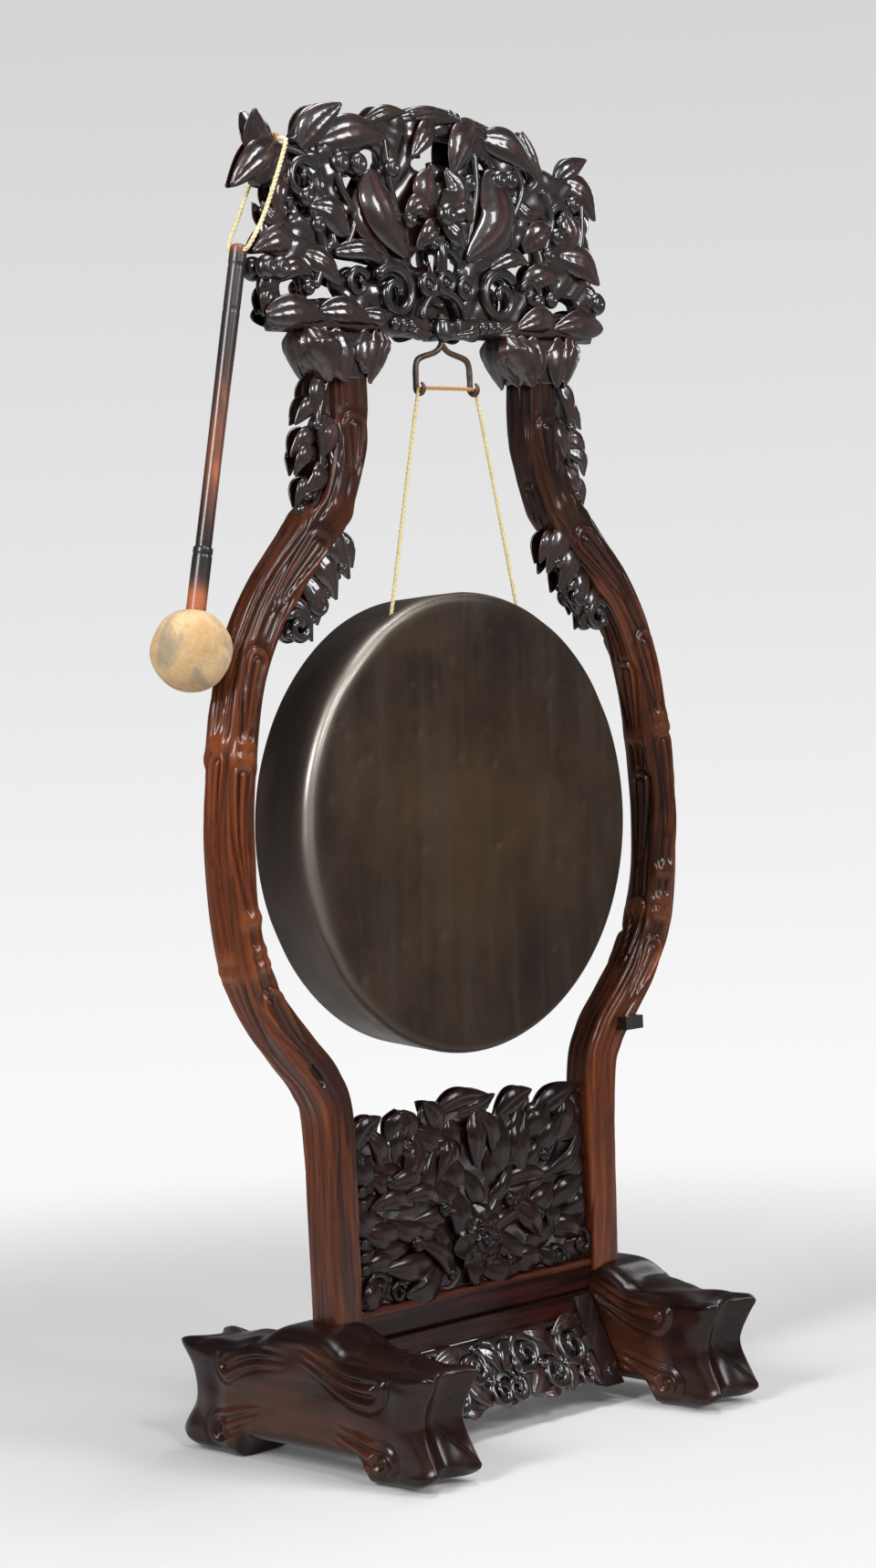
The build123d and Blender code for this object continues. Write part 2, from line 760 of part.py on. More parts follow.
for name, cord, route, points, radius, bends in (
    ("gong_cord", gong_cord, gong_route, gong_cord_points, gong_cord_radius, gong_cord_radii),
    ("mallet_loop", mallet_loop, loop_route, loop_points, loop_radius, loop_radii),
):
    length = route.wire().length
    ratio = cord.part.volume / (pi * radius**2 * length)
    print(name, "bend radii", [round(bend, 1) for bend in bends])
    print(name, "length", round(length, 1), "volume over section times length", round(ratio, 4))
    print(name, "points", [tuple(round(place, 2) for place in point) for point in points])
print("cord hinge", cord_y, hook_z, "mallet hole", mallet_hole)
print("gong front and back", gong_front_y, gong_back_y)
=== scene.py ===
# %% [markdown]
# A tam tam gong hangs in a carved hardwood floor stand, with its mallet on a cord beside it.
# The joinery model gives every timber, joint and pivot its place, and this notebook dresses it:
# polished carving, beaten bronze, forged iron, twisted cord and worn leather.
# All lengths below are written in millimetres, as on a maker's bench, and become metres in one place.

# %% Load the joinery model
import json
import math

import bpy
import numpy as np
from mathutils import Matrix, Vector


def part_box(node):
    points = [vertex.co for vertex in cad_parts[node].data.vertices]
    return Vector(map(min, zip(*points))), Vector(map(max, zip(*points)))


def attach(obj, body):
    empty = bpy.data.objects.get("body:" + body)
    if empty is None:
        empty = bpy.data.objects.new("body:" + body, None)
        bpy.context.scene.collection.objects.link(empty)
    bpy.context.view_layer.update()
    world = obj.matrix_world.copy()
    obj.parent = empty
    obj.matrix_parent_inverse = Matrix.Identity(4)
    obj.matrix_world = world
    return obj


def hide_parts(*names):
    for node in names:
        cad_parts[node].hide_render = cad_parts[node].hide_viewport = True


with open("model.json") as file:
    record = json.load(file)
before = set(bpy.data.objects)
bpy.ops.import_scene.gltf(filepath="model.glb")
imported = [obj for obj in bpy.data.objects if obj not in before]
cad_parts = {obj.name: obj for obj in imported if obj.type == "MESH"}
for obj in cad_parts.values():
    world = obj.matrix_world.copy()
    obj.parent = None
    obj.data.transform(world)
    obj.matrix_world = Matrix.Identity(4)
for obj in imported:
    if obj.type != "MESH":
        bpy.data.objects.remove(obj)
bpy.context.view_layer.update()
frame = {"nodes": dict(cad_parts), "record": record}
scene = bpy.context.scene
MM = 0.001

# %% [markdown]
# A camera is placed by the point it stands at and by three directions: right, up and forward.
# The stand is tall, so a long lens from far away keeps its posts upright.

# %% Camera
camera_data = bpy.data.cameras.new("camera")
camera = bpy.data.objects.new("camera", camera_data)
scene.collection.objects.link(camera)
camera_right = (0.69699033, -0.71611267, -0.03724415)
camera_up = (0.06105234, 0.00751177, 0.9981063)
camera_forward = (0.7144768, 0.69794428, -0.04895598)
camera_place = (-3.3636367, -3.2589821, 1.0887909)
camera_data.sensor_width = 36.0
camera_data.lens = 81.17
camera_data.clip_end = 200.0
camera_rows = [[camera_right[i], camera_up[i], -camera_forward[i], camera_place[i]] for i in range(3)]
camera.matrix_world = Matrix(camera_rows + [[0.0, 0.0, 0.0, 1.0]])
scene.camera = camera
print("camera at", camera_place)

# %% [markdown]
# Every new piece here is one or more closed skins. Each skin is a stack of rings: a grid of points
# with one parameter along the piece and one around it. The ends close in a fan to a middle point.
# Working on whole grids at once in numpy is quick, and the sign of the enclosed volume tells
# which way the faces point, so a skin that came out inside out is turned over.


# %% Skins from rings
def faced_outward(points, quads, fans):
    """The same faces, turned over when the volume they enclose round their middle comes out negative."""
    split = np.concatenate([quads[:, [0, 1, 2]], quads[:, [0, 2, 3]], fans])
    a, b, c = (points[split[:, k]] - points.mean(0) for k in range(3))
    inside_out = np.einsum("ij,ij->i", a, np.cross(b, c)).sum() < 0
    return (quads[:, ::-1], fans[:, ::-1]) if inside_out else (quads, fans)


def skin(rings, wear=None, closed_ends=True, grain=None):
    """A closed skin from rings[i, j]: quads join ring i to ring i + 1, and fans close the two ends.
    Each point also carries a value for wear, which on the gong's shoulder and the leaves' midribs is a
    painted highlight, and where it lies in the timber's own grain."""
    count, around = rings.shape[:2]
    index = np.arange(count * around).reshape(count, around)
    following = np.roll(index, -1, axis=1)
    points, fans = rings.reshape(-1, 3), np.zeros((0, 3), int)
    if closed_ends:
        quads = np.stack([index[:-1], following[:-1], following[1:], index[1:]], -1).reshape(-1, 4)
        start_fan = np.stack([following[0], index[0], np.full(around, index.size)], -1)
        end_fan = np.stack([index[-1], following[-1], np.full(around, index.size + 1)], -1)
        points = np.concatenate([points, rings[:1].mean(1), rings[-1:].mean(1)])
        fans = np.concatenate([start_fan, end_fan])
    else:
        next_ring, next_both = np.roll(index, -1, axis=0), np.roll(following, -1, axis=0)
        quads = np.stack([index, following, next_both, next_ring], -1).reshape(-1, 4)
    worn = np.zeros(len(points))
    if wear is not None:
        worn = np.concatenate([np.ravel(wear), [np.mean(wear[0])], [np.mean(wear[-1])]])
    if grain is not None:
        grain = np.concatenate([grain.reshape(-1, 3), grain[:1].mean(1), grain[-1:].mean(1)])
    return points, *faced_outward(points, quads, fans), worn, grain


def piece(name, skins, body, slot_name, stands_for=(), finish=None):
    """One object from many skins, in metres, riding on a body of the joinery model."""
    shift, parts = 0, []
    for place, quads, fans, worn, grain in skins:
        parts.append((place, quads + shift, fans + shift, worn, place if grain is None else grain))
        shift += len(place)
    points, quads, fans, worn, grain = (np.concatenate(column) for column in zip(*parts))
    mesh = bpy.data.meshes.new(name)
    mesh.vertices.add(len(points))
    mesh.vertices.foreach_set("co", (points * MM).astype(np.float32).ravel())
    corners = np.concatenate([quads.ravel(), fans.ravel()]).astype(np.int32)
    totals = np.concatenate([np.full(len(quads), 4), np.full(len(fans), 3)])
    starts = np.concatenate([[0], np.cumsum(totals)[:-1]])
    mesh.loops.add(len(corners))
    mesh.loops.foreach_set("vertex_index", corners)
    mesh.polygons.add(len(totals))
    mesh.polygons.foreach_set("loop_start", starts.astype(np.int32))
    mesh.polygons.foreach_set("loop_total", totals.astype(np.int32))
    mesh.polygons.foreach_set("use_smooth", np.ones(len(totals), bool))
    mesh.update(calc_edges=True)
    mesh.attributes.new("wear", "FLOAT", "POINT").data.foreach_set("value", worn.astype(np.float32))
    lie = (grain * MM).astype(np.float32).ravel()
    mesh.attributes.new("grain", "FLOAT_VECTOR", "POINT").data.foreach_set("vector", lie)
    made = bpy.data.objects.new(name, mesh)
    scene.collection.objects.link(made)
    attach(made, body)
    if stands_for:
        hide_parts(*stands_for)
    mesh.materials.append(finishes[finish or slot_name])
    print(name, "points", len(points), "triangles", 2 * len(quads) + len(fans))
    return made


finishes = {}


# %% Small geometry helpers
def unit(v):
    """v divided by its own length."""
    return v / np.maximum(np.linalg.norm(v, axis=-1, keepdims=True), 1e-9)


def smooth_path(points, count):
    """A Catmull-Rom curve through the points: each span blends four neighbours by cubic weights."""
    p = np.asarray(points, float)
    p = np.concatenate([2 * p[:1] - p[1:2], p, 2 * p[-1:] - p[-2:-1]])
    spans = len(p) - 3
    t = np.linspace(0, spans, count)
    i = np.minimum(t.astype(int), spans - 1)
    u = (t - i).reshape((-1,) + (1,) * (p.ndim - 1))
    a, b, c, d = p[i], p[i + 1], p[i + 2], p[i + 3]
    return 0.5 * (
        2 * b + (c - a) * u + (2 * a - 5 * b + 4 * c - d) * u**2 + (3 * b - a - 3 * c + d) * u**3
    )


def along(path, spacing):
    """The same line with points an even distance apart, by running length."""
    steps = np.linalg.norm(np.diff(path, axis=0), axis=1)
    run = np.concatenate([[0], np.cumsum(steps)])
    at = np.linspace(0, run[-1], max(3, int(run[-1] / spacing) + 1))
    return np.stack([np.interp(at, run, path[:, k]) for k in range(3)], -1)


def frames(path, lean):
    """Side and face normal along a path. The normal stays as near to lean as it can."""
    ahead = unit(np.gradient(path, axis=0))
    side = unit(np.cross(ahead, np.broadcast_to(lean, ahead.shape)))
    return side, np.cross(side, ahead)


def rolled_frames(path):
    """Side and normal that turn as little as possible along the path, carried from point to point."""
    ahead = unit(np.gradient(path, axis=0))
    start = np.eye(3)[np.argmin(np.abs(ahead[0]))]
    side = [unit(np.cross(ahead[0], start))]
    for k in range(1, len(path)):
        side.append(unit(side[-1] - ahead[k] * np.dot(side[-1], ahead[k])))
    side = np.array(side)
    return ahead, side, np.cross(ahead, side)


def squared(angle, power):
    """A circle pushed out towards a square: cos and sin are raised to a power below 1, signs kept."""
    c, s = np.cos(angle), np.sin(angle)
    return np.sign(c) * np.abs(c) ** power, np.sign(s) * np.abs(s) ** power


def rod(path, radius, around=12):
    """A round bar: a circle of the given radius at each point of the path, and a rounded nose at each end."""
    path = np.asarray(path, float)
    radius = np.broadcast_to(radius, len(path)).astype(float)
    ahead, side, normal = rolled_frames(path)
    back_off, shrink = 0.8 * (1 - np.array([0.0, 0.5, 0.85])), np.array([0.15, 0.75, 0.95])
    start = path[0] - ahead[0] * radius[0] * back_off[:, None]
    end = path[-1] + ahead[-1] * radius[-1] * back_off[::-1, None]
    path = np.concatenate([start, path, end])
    side, normal = (np.pad(v, ((3, 3), (0, 0)), mode="edge") for v in (side, normal))
    radius = np.concatenate([radius[0] * shrink, radius, radius[-1] * shrink[::-1]])[:, None, None]
    turn = np.linspace(0, 2 * np.pi, around, endpoint=False)[None, :, None]
    return skin(path[:, None] + radius * (np.cos(turn) * side[:, None] + np.sin(turn) * normal[:, None]))


def turned(profile, centre, axis="z", around=64, ripple=None):
    """A lathe shape: (radius, height) profile points swung round an axis through centre."""
    profile = np.asarray(profile, float)
    turn = np.linspace(0, 2 * np.pi, around, endpoint=False)
    r, h = profile[:, :1], np.repeat(profile[:, 1:2], around, 1)
    r = np.repeat(r, around, 1)
    if ripple is not None:
        r = r + ripple(r, h, turn[None, :])
    a, b = r * np.cos(turn), r * np.sin(turn)
    return skin(np.stack((a, b, h) if axis == "z" else (a, h, b), -1) + np.asarray(centre, float))


print("helpers ready")

# %% [markdown]
# Shader maths reads best as a sum on paper. This small class holds one socket of a node tree,
# and each operator adds one Math node, so that an expression such as 1 - mask * 0.5 builds
# itself. Colours go through Mix, since a Math node would turn them grey.


# %% A socket that can be used in sums
class Value:
    """One output socket of a material, with the usual operators on it."""

    def __init__(self, tree, socket):
        self.tree, self.socket = tree, socket

    def math(self, operation, *others):
        """One Math node with this socket as its first value and the others after it."""
        sockets = {0: self, **dict(enumerate(others, 1))}
        return add_node(self.tree, "ShaderNodeMath", {"operation": operation}, sockets)

    def __add__(self, other):
        return self.math("ADD", other)

    def __sub__(self, other):
        return self.math("SUBTRACT", other)

    def __rsub__(self, other):
        return add_node(self.tree, "ShaderNodeMath", {"operation": "SUBTRACT"}, {0: other, 1: self})

    def __mul__(self, other):
        return self.math("MULTIPLY", other)

    def __pow__(self, other):
        return self.math("POWER", other)

    __radd__ = __add__
    __rmul__ = __mul__

    def clamp(self, low=0.0, high=1.0):
        """The value kept between low and high."""
        return self.math("MAXIMUM", low).math("MINIMUM", high)

    def band(self, low, high, out_low=0.0, out_high=1.0):
        """0 below low, 1 above high and a smooth step between, spread over the out range."""
        return add_node(
            self.tree,
            "ShaderNodeMapRange",
            {"interpolation_type": "SMOOTHSTEP"},
            {"Value": self, "From Min": low, "From Max": high, "To Min": out_low, "To Max": out_high},
        )


def add_node(tree, kind, settings=None, sockets=None, output=0):
    """One node of any kind: its settings first, then its sockets by name or number."""
    node = tree.nodes.new(kind)
    for key, value in (settings or {}).items():
        if key == "stops":
            ramp = node.color_ramp
            while len(ramp.elements) < len(value):
                ramp.elements.new(0.5)
            for stop, (place, colour) in zip(ramp.elements, value):
                stop.position, stop.color = place, (*colour, 1.0)
        else:
            setattr(node, key, value)
    for key, value in (sockets or {}).items():
        if isinstance(value, Value):
            tree.links.new(value.socket, node.inputs[key])
        elif isinstance(value, tuple) and node.inputs[key].type == "RGBA":
            node.inputs[key].default_value = (*value, 1.0)
        else:
            node.inputs[key].default_value = value
    return Value(tree, node.outputs[output])


class Finish:
    """A material with one surface shader, and helpers for the patterns that feed it."""

    def __init__(self, name, along_grain=False, **constants):
        self.material = bpy.data.materials.new(name)
        self.material.use_nodes = True
        self.tree = self.material.node_tree
        self.shader = self.tree.nodes["Principled BSDF"]
        for key, value in constants.items():
            self.shader.inputs[key.replace("_", " ").title().replace("Ior", "IOR")].default_value = value
        if along_grain:
            self.place = add_node(self.tree, "ShaderNodeAttribute", {"attribute_name": "grain"}, output=1)
        else:
            self.place = add_node(self.tree, "ShaderNodeTexCoord", output=3)

    def noise(self, scale, detail=3.0, roughness=0.5, distortion=0.0, stretch=None):
        """Cloudy values about one half; stretch draws them out along an axis whose number is small."""
        where = self.place
        if stretch:
            where = add_node(self.tree, "ShaderNodeMapping", None, {"Vector": where, "Scale": stretch})
        sockets = {"Scale": scale, "Detail": detail, "Roughness": roughness, "Distortion": distortion}
        return add_node(self.tree, "ShaderNodeTexNoise", None, {"Vector": where, **sockets})

    def cells(self, scale):
        """How far each point is from the nearest wall between cells."""
        sockets = {"Vector": self.place, "Scale": scale}
        return add_node(self.tree, "ShaderNodeTexVoronoi", {"feature": "DISTANCE_TO_EDGE"}, sockets)

    def height(self):
        """Height above the floor in metres, for pieces that stand in the room as they were made."""
        return add_node(self.tree, "ShaderNodeSeparateXYZ", None, {0: self.place}, 2)

    def wear(self):
        """The value that each point of a skin carries: wear, and on the gong's shoulder and the leaves'
        midribs a painted highlight.
        """
        return add_node(self.tree, "ShaderNodeAttribute", {"attribute_name": "wear"}, output=2)

    def mix(self, share, first, second):
        """Blends two colours by share. The Mix node's colour sockets are numbers 6 and 7, its result 2."""
        return add_node(self.tree, "ShaderNodeMix", {"data_type": "RGBA"}, {0: share, 6: first, 7: second}, 2)

    def bump(self, height, strength, distance, under=None):
        """A normal tilted by the slope of height, on top of the bump under it where there is one."""
        sockets = {"Height": height, "Strength": strength, "Distance": distance}
        if under is not None:
            sockets["Normal"] = under
        return add_node(self.tree, "ShaderNodeBump", None, sockets)

    def feed(self, **links):
        """Links each value to the shader's socket of that name, and hands back the material."""
        for key, value in links.items():
            self.tree.links.new(value.socket, self.shader.inputs[key.replace("_", " ").title()])
        return self.material


print("shader helpers ready")

# %% [markdown]
# The gong hangs on one length of twisted cord that is knotted behind two holes in its rim and
# lies over the hanger's two hooks. Rope is three yarns that wind round each other. The route is
# a smooth curve with a few guide points, and the yarns follow points read back from that curve.


# %% Routes and rope
def route_line(points):
    """Points along the smooth curve that the guide points pull on, as Blender itself lays it."""
    data = bpy.data.curves.new("route", "CURVE")
    data.dimensions = "3D"
    data.resolution_u = 32
    spline = data.splines.new("NURBS")
    spline.points.add(len(points) - 1)
    flat = np.concatenate([np.asarray(points) * MM, np.ones((len(points), 1))], 1)
    spline.points.foreach_set("co", flat.ravel())
    spline.order_u = 3
    spline.use_endpoint_u = True
    guide = bpy.data.objects.new("route", data)
    scene.collection.objects.link(guide)
    mesh = bpy.data.meshes.new_from_object(guide)
    line = np.zeros(len(mesh.vertices) * 3)
    mesh.vertices.foreach_get("co", line)
    bpy.data.objects.remove(guide)
    bpy.data.meshes.remove(mesh)
    return along(line.reshape(-1, 3) / MM, 1.5)


yarn_share = 0.51


def rope(line, diameter, lay, yarns=3):
    """Yarns on a helix: each circles the line once in every lay length, a third of a turn apart."""
    _, side, normal = rolled_frames(line)
    run = np.concatenate([[0], np.cumsum(np.linalg.norm(np.diff(line, axis=0), axis=1))])
    yarn = diameter / 2 * yarn_share
    offset = diameter / 2 - yarn
    made = []
    for k in range(yarns):
        angle = (run / lay * 2 * np.pi + k * 2 * np.pi / yarns)[:, None]
        made.append(rod(line + offset * (np.cos(angle) * side + np.sin(angle) * normal), yarn, 8))
    return made


gong_cord_route = [
    (-122.73, -17.05, 1072.82), (-55.35, -17.05, 1376.9), (-51.48, -17.05, 1380), (51.48, -17.05, 1380),
    (55.35, -17.05, 1376.9), (122.73, -17.05, 1072.82),
]
loop_route = [
    (-277, -3, 1689), (-277.3, -17.5, 1689), (-279.5, -23.5, 1683), (-322, -22.5, 1588),
    (-346.2, -21.99, 1554.16), (-347.7, -12.79, 1545.16), (-347.7, 13.21, 1545.16),
    (-346.2, 21.21, 1554.16), (-325, 20.5, 1592), (-280, 21.5, 1683), (-277.3, 15.5, 1689),
    (-277, 1, 1689),
]
gong_cord_line, loop_line = route_line(gong_cord_route), route_line(loop_route)
for label, line in (("gong cord", gong_cord_line), ("loop", loop_line)):
    print(label, "length mm", np.linalg.norm(np.diff(line, axis=0), axis=1).sum())

# %% [markdown]
# The cord has gone golden where it bears on the iron and is pale cream below. One material
# shows both: the colour turns by height near the hooks. The fibres are a fine noise drawn out
# along the yarn, with a little sheen.


# %% Cord finishes
def cord_finish(name, pale, deep, golden_height=None):
    """Fibres and soil share out pale and deep; above golden_height, in metres, the cord is golden."""
    finish = Finish(name, roughness=0.75, sheen_weight=0.25, sheen_roughness=0.5)
    fibre = finish.noise(900.0, 2.0, 0.6)
    soil = finish.noise(60.0, 3.0, 0.6)
    colour = finish.mix(fibre.band(0.35, 0.7) * 0.6 + soil.band(0.4, 0.75) * 0.4, pale, deep)
    if golden_height:
        golden = finish.height().band(golden_height - 0.006, golden_height)
        colour = finish.mix(golden, colour, (0.56, 0.27, 0.07))
    return finish.feed(base_color=colour, normal=finish.bump(fibre, 0.5, 0.0006))


finishes["gong_cord"] = cord_finish("gong_cord_twist", (0.83, 0.72, 0.40), (0.58, 0.42, 0.17), 1.3795)
finishes["loop_cord"] = cord_finish("loop_cord_twist", (0.86, 0.78, 0.48), (0.60, 0.46, 0.20))
finishes["knot_cord"] = cord_finish("loop_knot_twist", (0.72, 0.38, 0.14), (0.42, 0.18, 0.06))
print("cord finishes", list(finishes))

# %% Ropes and knots


def knot(centre, radius, yarn=2.6, seed=0):
    """A small overhand knot: yarn wound over a ball, on a curve that circles two axes at once."""
    t = np.linspace(0, 2 * np.pi, 90)
    r = radius - yarn
    reach = r * (0.75 + 0.25 * np.cos(2 * t))
    rise = r * np.sin(2 * t + seed) * 0.8
    path = np.stack([reach * np.cos(3 * t + seed), reach * np.sin(3 * t + seed), rise], -1)
    core = np.linspace(0, np.pi, 9)[1:-1]
    ball = turned(0.72 * radius * np.stack([np.sin(core), -np.cos(core)], -1), centre, around=16)
    return [rod(path + np.asarray(centre), yarn, 8), ball]


def knot_centre(node):
    """The middle of a knot's box in the joinery model, in millimetres."""
    low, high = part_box(node)
    return np.array((low + high) / 2) / MM


gong_cord = piece("gong_cord_rope", rope(gong_cord_line, 5.5, 21.0), "gong", "gong_cord", ["gong_cord"])
for turn, node in enumerate(("left_gong_knot", "right_gong_knot")):
    knot_skins = knot(knot_centre(node), 8.0, seed=turn)
    piece(f"{node}_rope", knot_skins, "gong", "gong_cord", [node])
loop = piece("mallet_loop_rope", rope(loop_line, 6.0, 19.0), "mallet_cord", "loop_cord", ["mallet_loop"])
knot_skins = knot(knot_centre("loop_knot"), 5.0, yarn=1.7)
loop_knot = piece("loop_knot_rope", knot_skins, "mallet_cord", "knot_cord", ["loop_knot"])

# %% [markdown]
# The timber is a dense tropical hardwood under a dark polish. The polish has gone thin on the
# ridges, where the red-brown shows, and lies nearly black in the hollows. The carver's pieces
# carry a wear value on each point for this; down each leaf's midrib the same value paints a light
# line, a painted highlight. Grain is a noise drawn out along the timber.


# %% Wood finishes
def wood_finish(name, dark, warm, worn, grain_stretch, gloss, streaks=0.5, grain_bump=0.07, along_grain=False,
                darker_above=None, coat=0.7, shine=0.12):
    """Dark turns to warm along streaks, then to worn where the wear value is high. A thinner polish
    (coat) is also a duller one. Between the two heights of darker_above the timber turns dark."""
    duller = 0.26 - 0.18 * coat
    finish = Finish(name, along_grain, coat_weight=coat, coat_roughness=duller, specular_ior_level=shine)
    broad = finish.noise(9.0, 4.0, 0.6, 0.5, grain_stretch)
    grain = finish.noise(75.0, 5.0, 0.65, 0.3, grain_stretch)
    pores = finish.noise(420.0, 2.0, 0.6, 0.0, grain_stretch)
    soil = finish.noise(11.0, 3.0, 0.6)
    tone = ((broad.band(0.42, 0.58) * 0.6 + grain.band(0.44, 0.60) * 0.6) * streaks).clamp()
    colour = finish.mix(tone, dark, warm)
    # Where the value is high the colour turns to worn: polish rubbed through, and down the leaves' midribs a
    # painted highlight.
    rubbed = (finish.wear() * (soil.band(0.3, 0.6) * 0.7 + 0.3) * (tone * 0.6 + 0.4)).clamp()
    if darker_above:
        spot = add_node(finish.tree, "ShaderNodeTexCoord", output=3)
        upper = add_node(finish.tree, "ShaderNodeSeparateXYZ", None, {0: spot}, 2).band(*darker_above)
        rubbed = rubbed * (1.0 - upper * 0.75)
        colour = finish.mix(upper * 0.7, colour, dark)
    colour = finish.mix(rubbed, colour, worn)
    colour = finish.mix(pores.band(0.60, 0.72) * 0.6, colour, (0.006, 0.003, 0.002))
    rough = (soil.band(0.3, 0.7) * 0.14 + grain.band(0.4, 0.8) * 0.08 + gloss).clamp(0.05, 1.0)
    tooled = finish.noise(55.0, 2.0, 0.5)
    relief = finish.bump(tooled, 0.17, 0.003, finish.bump(grain, grain_bump, 0.0012))
    return finish.feed(base_color=colour, roughness=rough, normal=finish.bump(pores, 0.05, 0.0005, relief))


finishes["dark_wood"] = wood_finish(
    "dark_polished_hardwood", (0.005, 0.0024, 0.0026), (0.024, 0.0065, 0.0056), (0.12, 0.028, 0.016),
    (1.0, 1.0, 0.5), 0.24, coat=1.0, shine=0.55,
)
# The panel is the same dark hardwood as the crest. Its darker colours paint in the shade it lies in, low
# between the posts.
finishes["shaded_panel_wood"] = wood_finish(
    "shade_painted_carved_hardwood", (0.003, 0.0016, 0.0016), (0.013, 0.004, 0.0034), (0.07, 0.018, 0.010),
    (1.0, 1.0, 0.5), 0.24, coat=0.5,
)
finishes["foot_wood"] = wood_finish(
    "red_brown_foot_hardwood", (0.006, 0.0025, 0.002), (0.020, 0.0065, 0.0045), (0.095, 0.026, 0.010),
    (1.0, 0.06, 1.0), 0.24, 0.9, coat=0.4,
)
finishes["red_wood"] = wood_finish(
    "red_polished_hardwood", (0.007, 0.0028, 0.0022), (0.100, 0.021, 0.007), (0.27, 0.068, 0.016),
    (1.0, 1.0, 0.05), 0.25, 1.0, 0.10, True, (1.02, 1.22), 0.5,
)
finishes["rail_wood"] = wood_finish(
    "rail_hardwood", (0.012, 0.0038, 0.0028), (0.066, 0.013, 0.007), (0.14, 0.032, 0.013),
    (0.06, 1.0, 1.0), 0.32, 0.8, coat=0.25,
)
finishes["plain_wood"] = wood_finish(
    "unpolished_tenon_wood", (0.10, 0.045, 0.025), (0.26, 0.13, 0.07), (0.35, 0.2, 0.1),
    (1.0, 1.0, 0.1), 0.5, 0.9,
)
print("wood finishes", [n for n in finishes if n.endswith("wood")])

# %% [markdown]
# The gong is beaten bronze with a dull olive-brown skin, warmer and rubbed towards the middle,
# drawn with faint upright streaks from wiping. The iron is brown-grey with a rusty edge.

# %% Metal finishes
bronze = Finish("beaten_bronze", metallic=0.75, coat_weight=0.08, coat_roughness=0.3)
spot = add_node(bronze.tree, "ShaderNodeSeparateXYZ", None, {0: bronze.place}, 0)
rise = bronze.height() - 0.808
distance = (spot * spot + rise * rise) ** 0.5
cloud = bronze.noise(7.0, 4.0, 0.6)
streak = bronze.noise(26.0, 4.0, 0.6, 0.6, (1.0, 1.0, 0.12))
speck = bronze.noise(160.0, 3.0, 0.7)
on_rim = distance.band(0.296, 0.303)
warmth = (1.0 - distance * 3.6 + (cloud - 0.5) * 1.3).clamp()
colour = bronze.mix(cloud.band(0.3, 0.7), (0.036, 0.023, 0.017), (0.060, 0.038, 0.025))
colour = bronze.mix(warmth * 0.75, colour, (0.105, 0.056, 0.023))
colour = bronze.mix(streak.band(0.45, 0.7) * 0.45, colour, (0.070, 0.054, 0.041))
colour = bronze.mix(speck.band(0.62, 0.75) * 0.35, colour, (0.028, 0.020, 0.015))
colour = bronze.mix(on_rim * 0.75, colour, (0.110, 0.080, 0.066))
# Painted highlight: where each point's value is high, on the shoulder's upper left, the colour turns a light
# grey-brown in place of the lamps' glint.
colour = bronze.mix(bronze.wear() * 0.8, colour, (0.46, 0.42, 0.36))
rough = (0.37 + streak.band(0.3, 0.7) * 0.12 + cloud.band(0.3, 0.7) * 0.08 - bronze.wear() * 0.1).clamp()
finishes["gong_bronze"] = bronze.feed(
    base_color=colour,
    roughness=rough,
    normal=bronze.bump(speck, 0.12, 0.0006, bronze.bump(cloud, 0.3, 0.004)),
)

iron = Finish("hanger_iron", metallic=0.85)
rust = iron.noise(45.0, 4.0, 0.6)
scale_marks = iron.noise(260.0, 3.0, 0.6)
finishes["hanger_iron"] = iron.feed(
    base_color=iron.mix(rust.band(0.45, 0.65), (0.105, 0.085, 0.078), (0.17, 0.085, 0.045)),
    roughness=rust.band(0.3, 0.7, 0.35, 0.6),
    normal=iron.bump(scale_marks, 0.35, 0.0008),
)
print("metal finishes ready")

# %% [markdown]
# The mallet handle is dark lacquer over red wood, rubbed through to a coppery orange in a long
# patch where the hand holds it. Its head is a ball covered in tan leather with grey scuffs.

# %% Lacquer and leather finishes
lacquer = Finish("mallet_lacquer", coat_weight=0.4, coat_roughness=0.2)
patch = lacquer.noise(9.0, 4.0, 0.6, 0.3, (1.0, 1.0, 0.35))
fine = lacquer.noise(140.0, 3.0, 0.6, 0.0, (1.0, 1.0, 0.1))
rubbed = (lacquer.wear() * 1.6 * (patch.band(0.36, 0.52) * 0.75 + 0.25)).clamp()
colour = lacquer.mix(patch.band(0.4, 0.65), (0.013, 0.009, 0.009), (0.034, 0.019, 0.016))
colour = lacquer.mix(rubbed, colour, (0.42, 0.115, 0.035))
colour = lacquer.mix(fine.band(0.6, 0.75) * 0.4, colour, (0.09, 0.035, 0.02))
finishes["handle_lacquer"] = lacquer.feed(
    base_color=colour,
    roughness=(0.3 + patch.band(0.3, 0.7) * 0.15 + rubbed * 0.15).clamp(),
    normal=lacquer.bump(fine, 0.2, 0.0006),
)

leather = Finish("worn_ball_leather", sheen_weight=0.15, sheen_roughness=0.5, specular_ior_level=0.35)
mottle = leather.noise(24.0, 5.0, 0.65)
scuff = leather.noise(13.0, 5.0, 0.7, 1.2)
pebble = leather.cells(420.0)
crease = leather.cells(38.0)
colour = leather.mix(mottle.band(0.3, 0.7), (0.55, 0.325, 0.135), (0.76, 0.53, 0.28))
colour = leather.mix(scuff.band(0.48, 0.62) * 0.8, colour, (0.33, 0.28, 0.21))
colour = leather.mix(mottle.band(0.66, 0.8) * 0.5, colour, (0.88, 0.74, 0.52))
colour = leather.mix((1.0 - pebble.band(0.0, 0.12)) * 0.25, colour, (0.28, 0.18, 0.10))
drape = leather.bump(mottle + crease.band(0.0, 0.06) * 0.4, 0.4, 0.0018)
finishes["ball_leather"] = leather.feed(
    base_color=colour,
    roughness=(0.62 + scuff.band(0.3, 0.7) * 0.2).clamp(),
    normal=leather.bump(pebble.band(0.0, 0.15), 0.35, 0.0006, drape),
)
print("finishes", sorted(finishes))

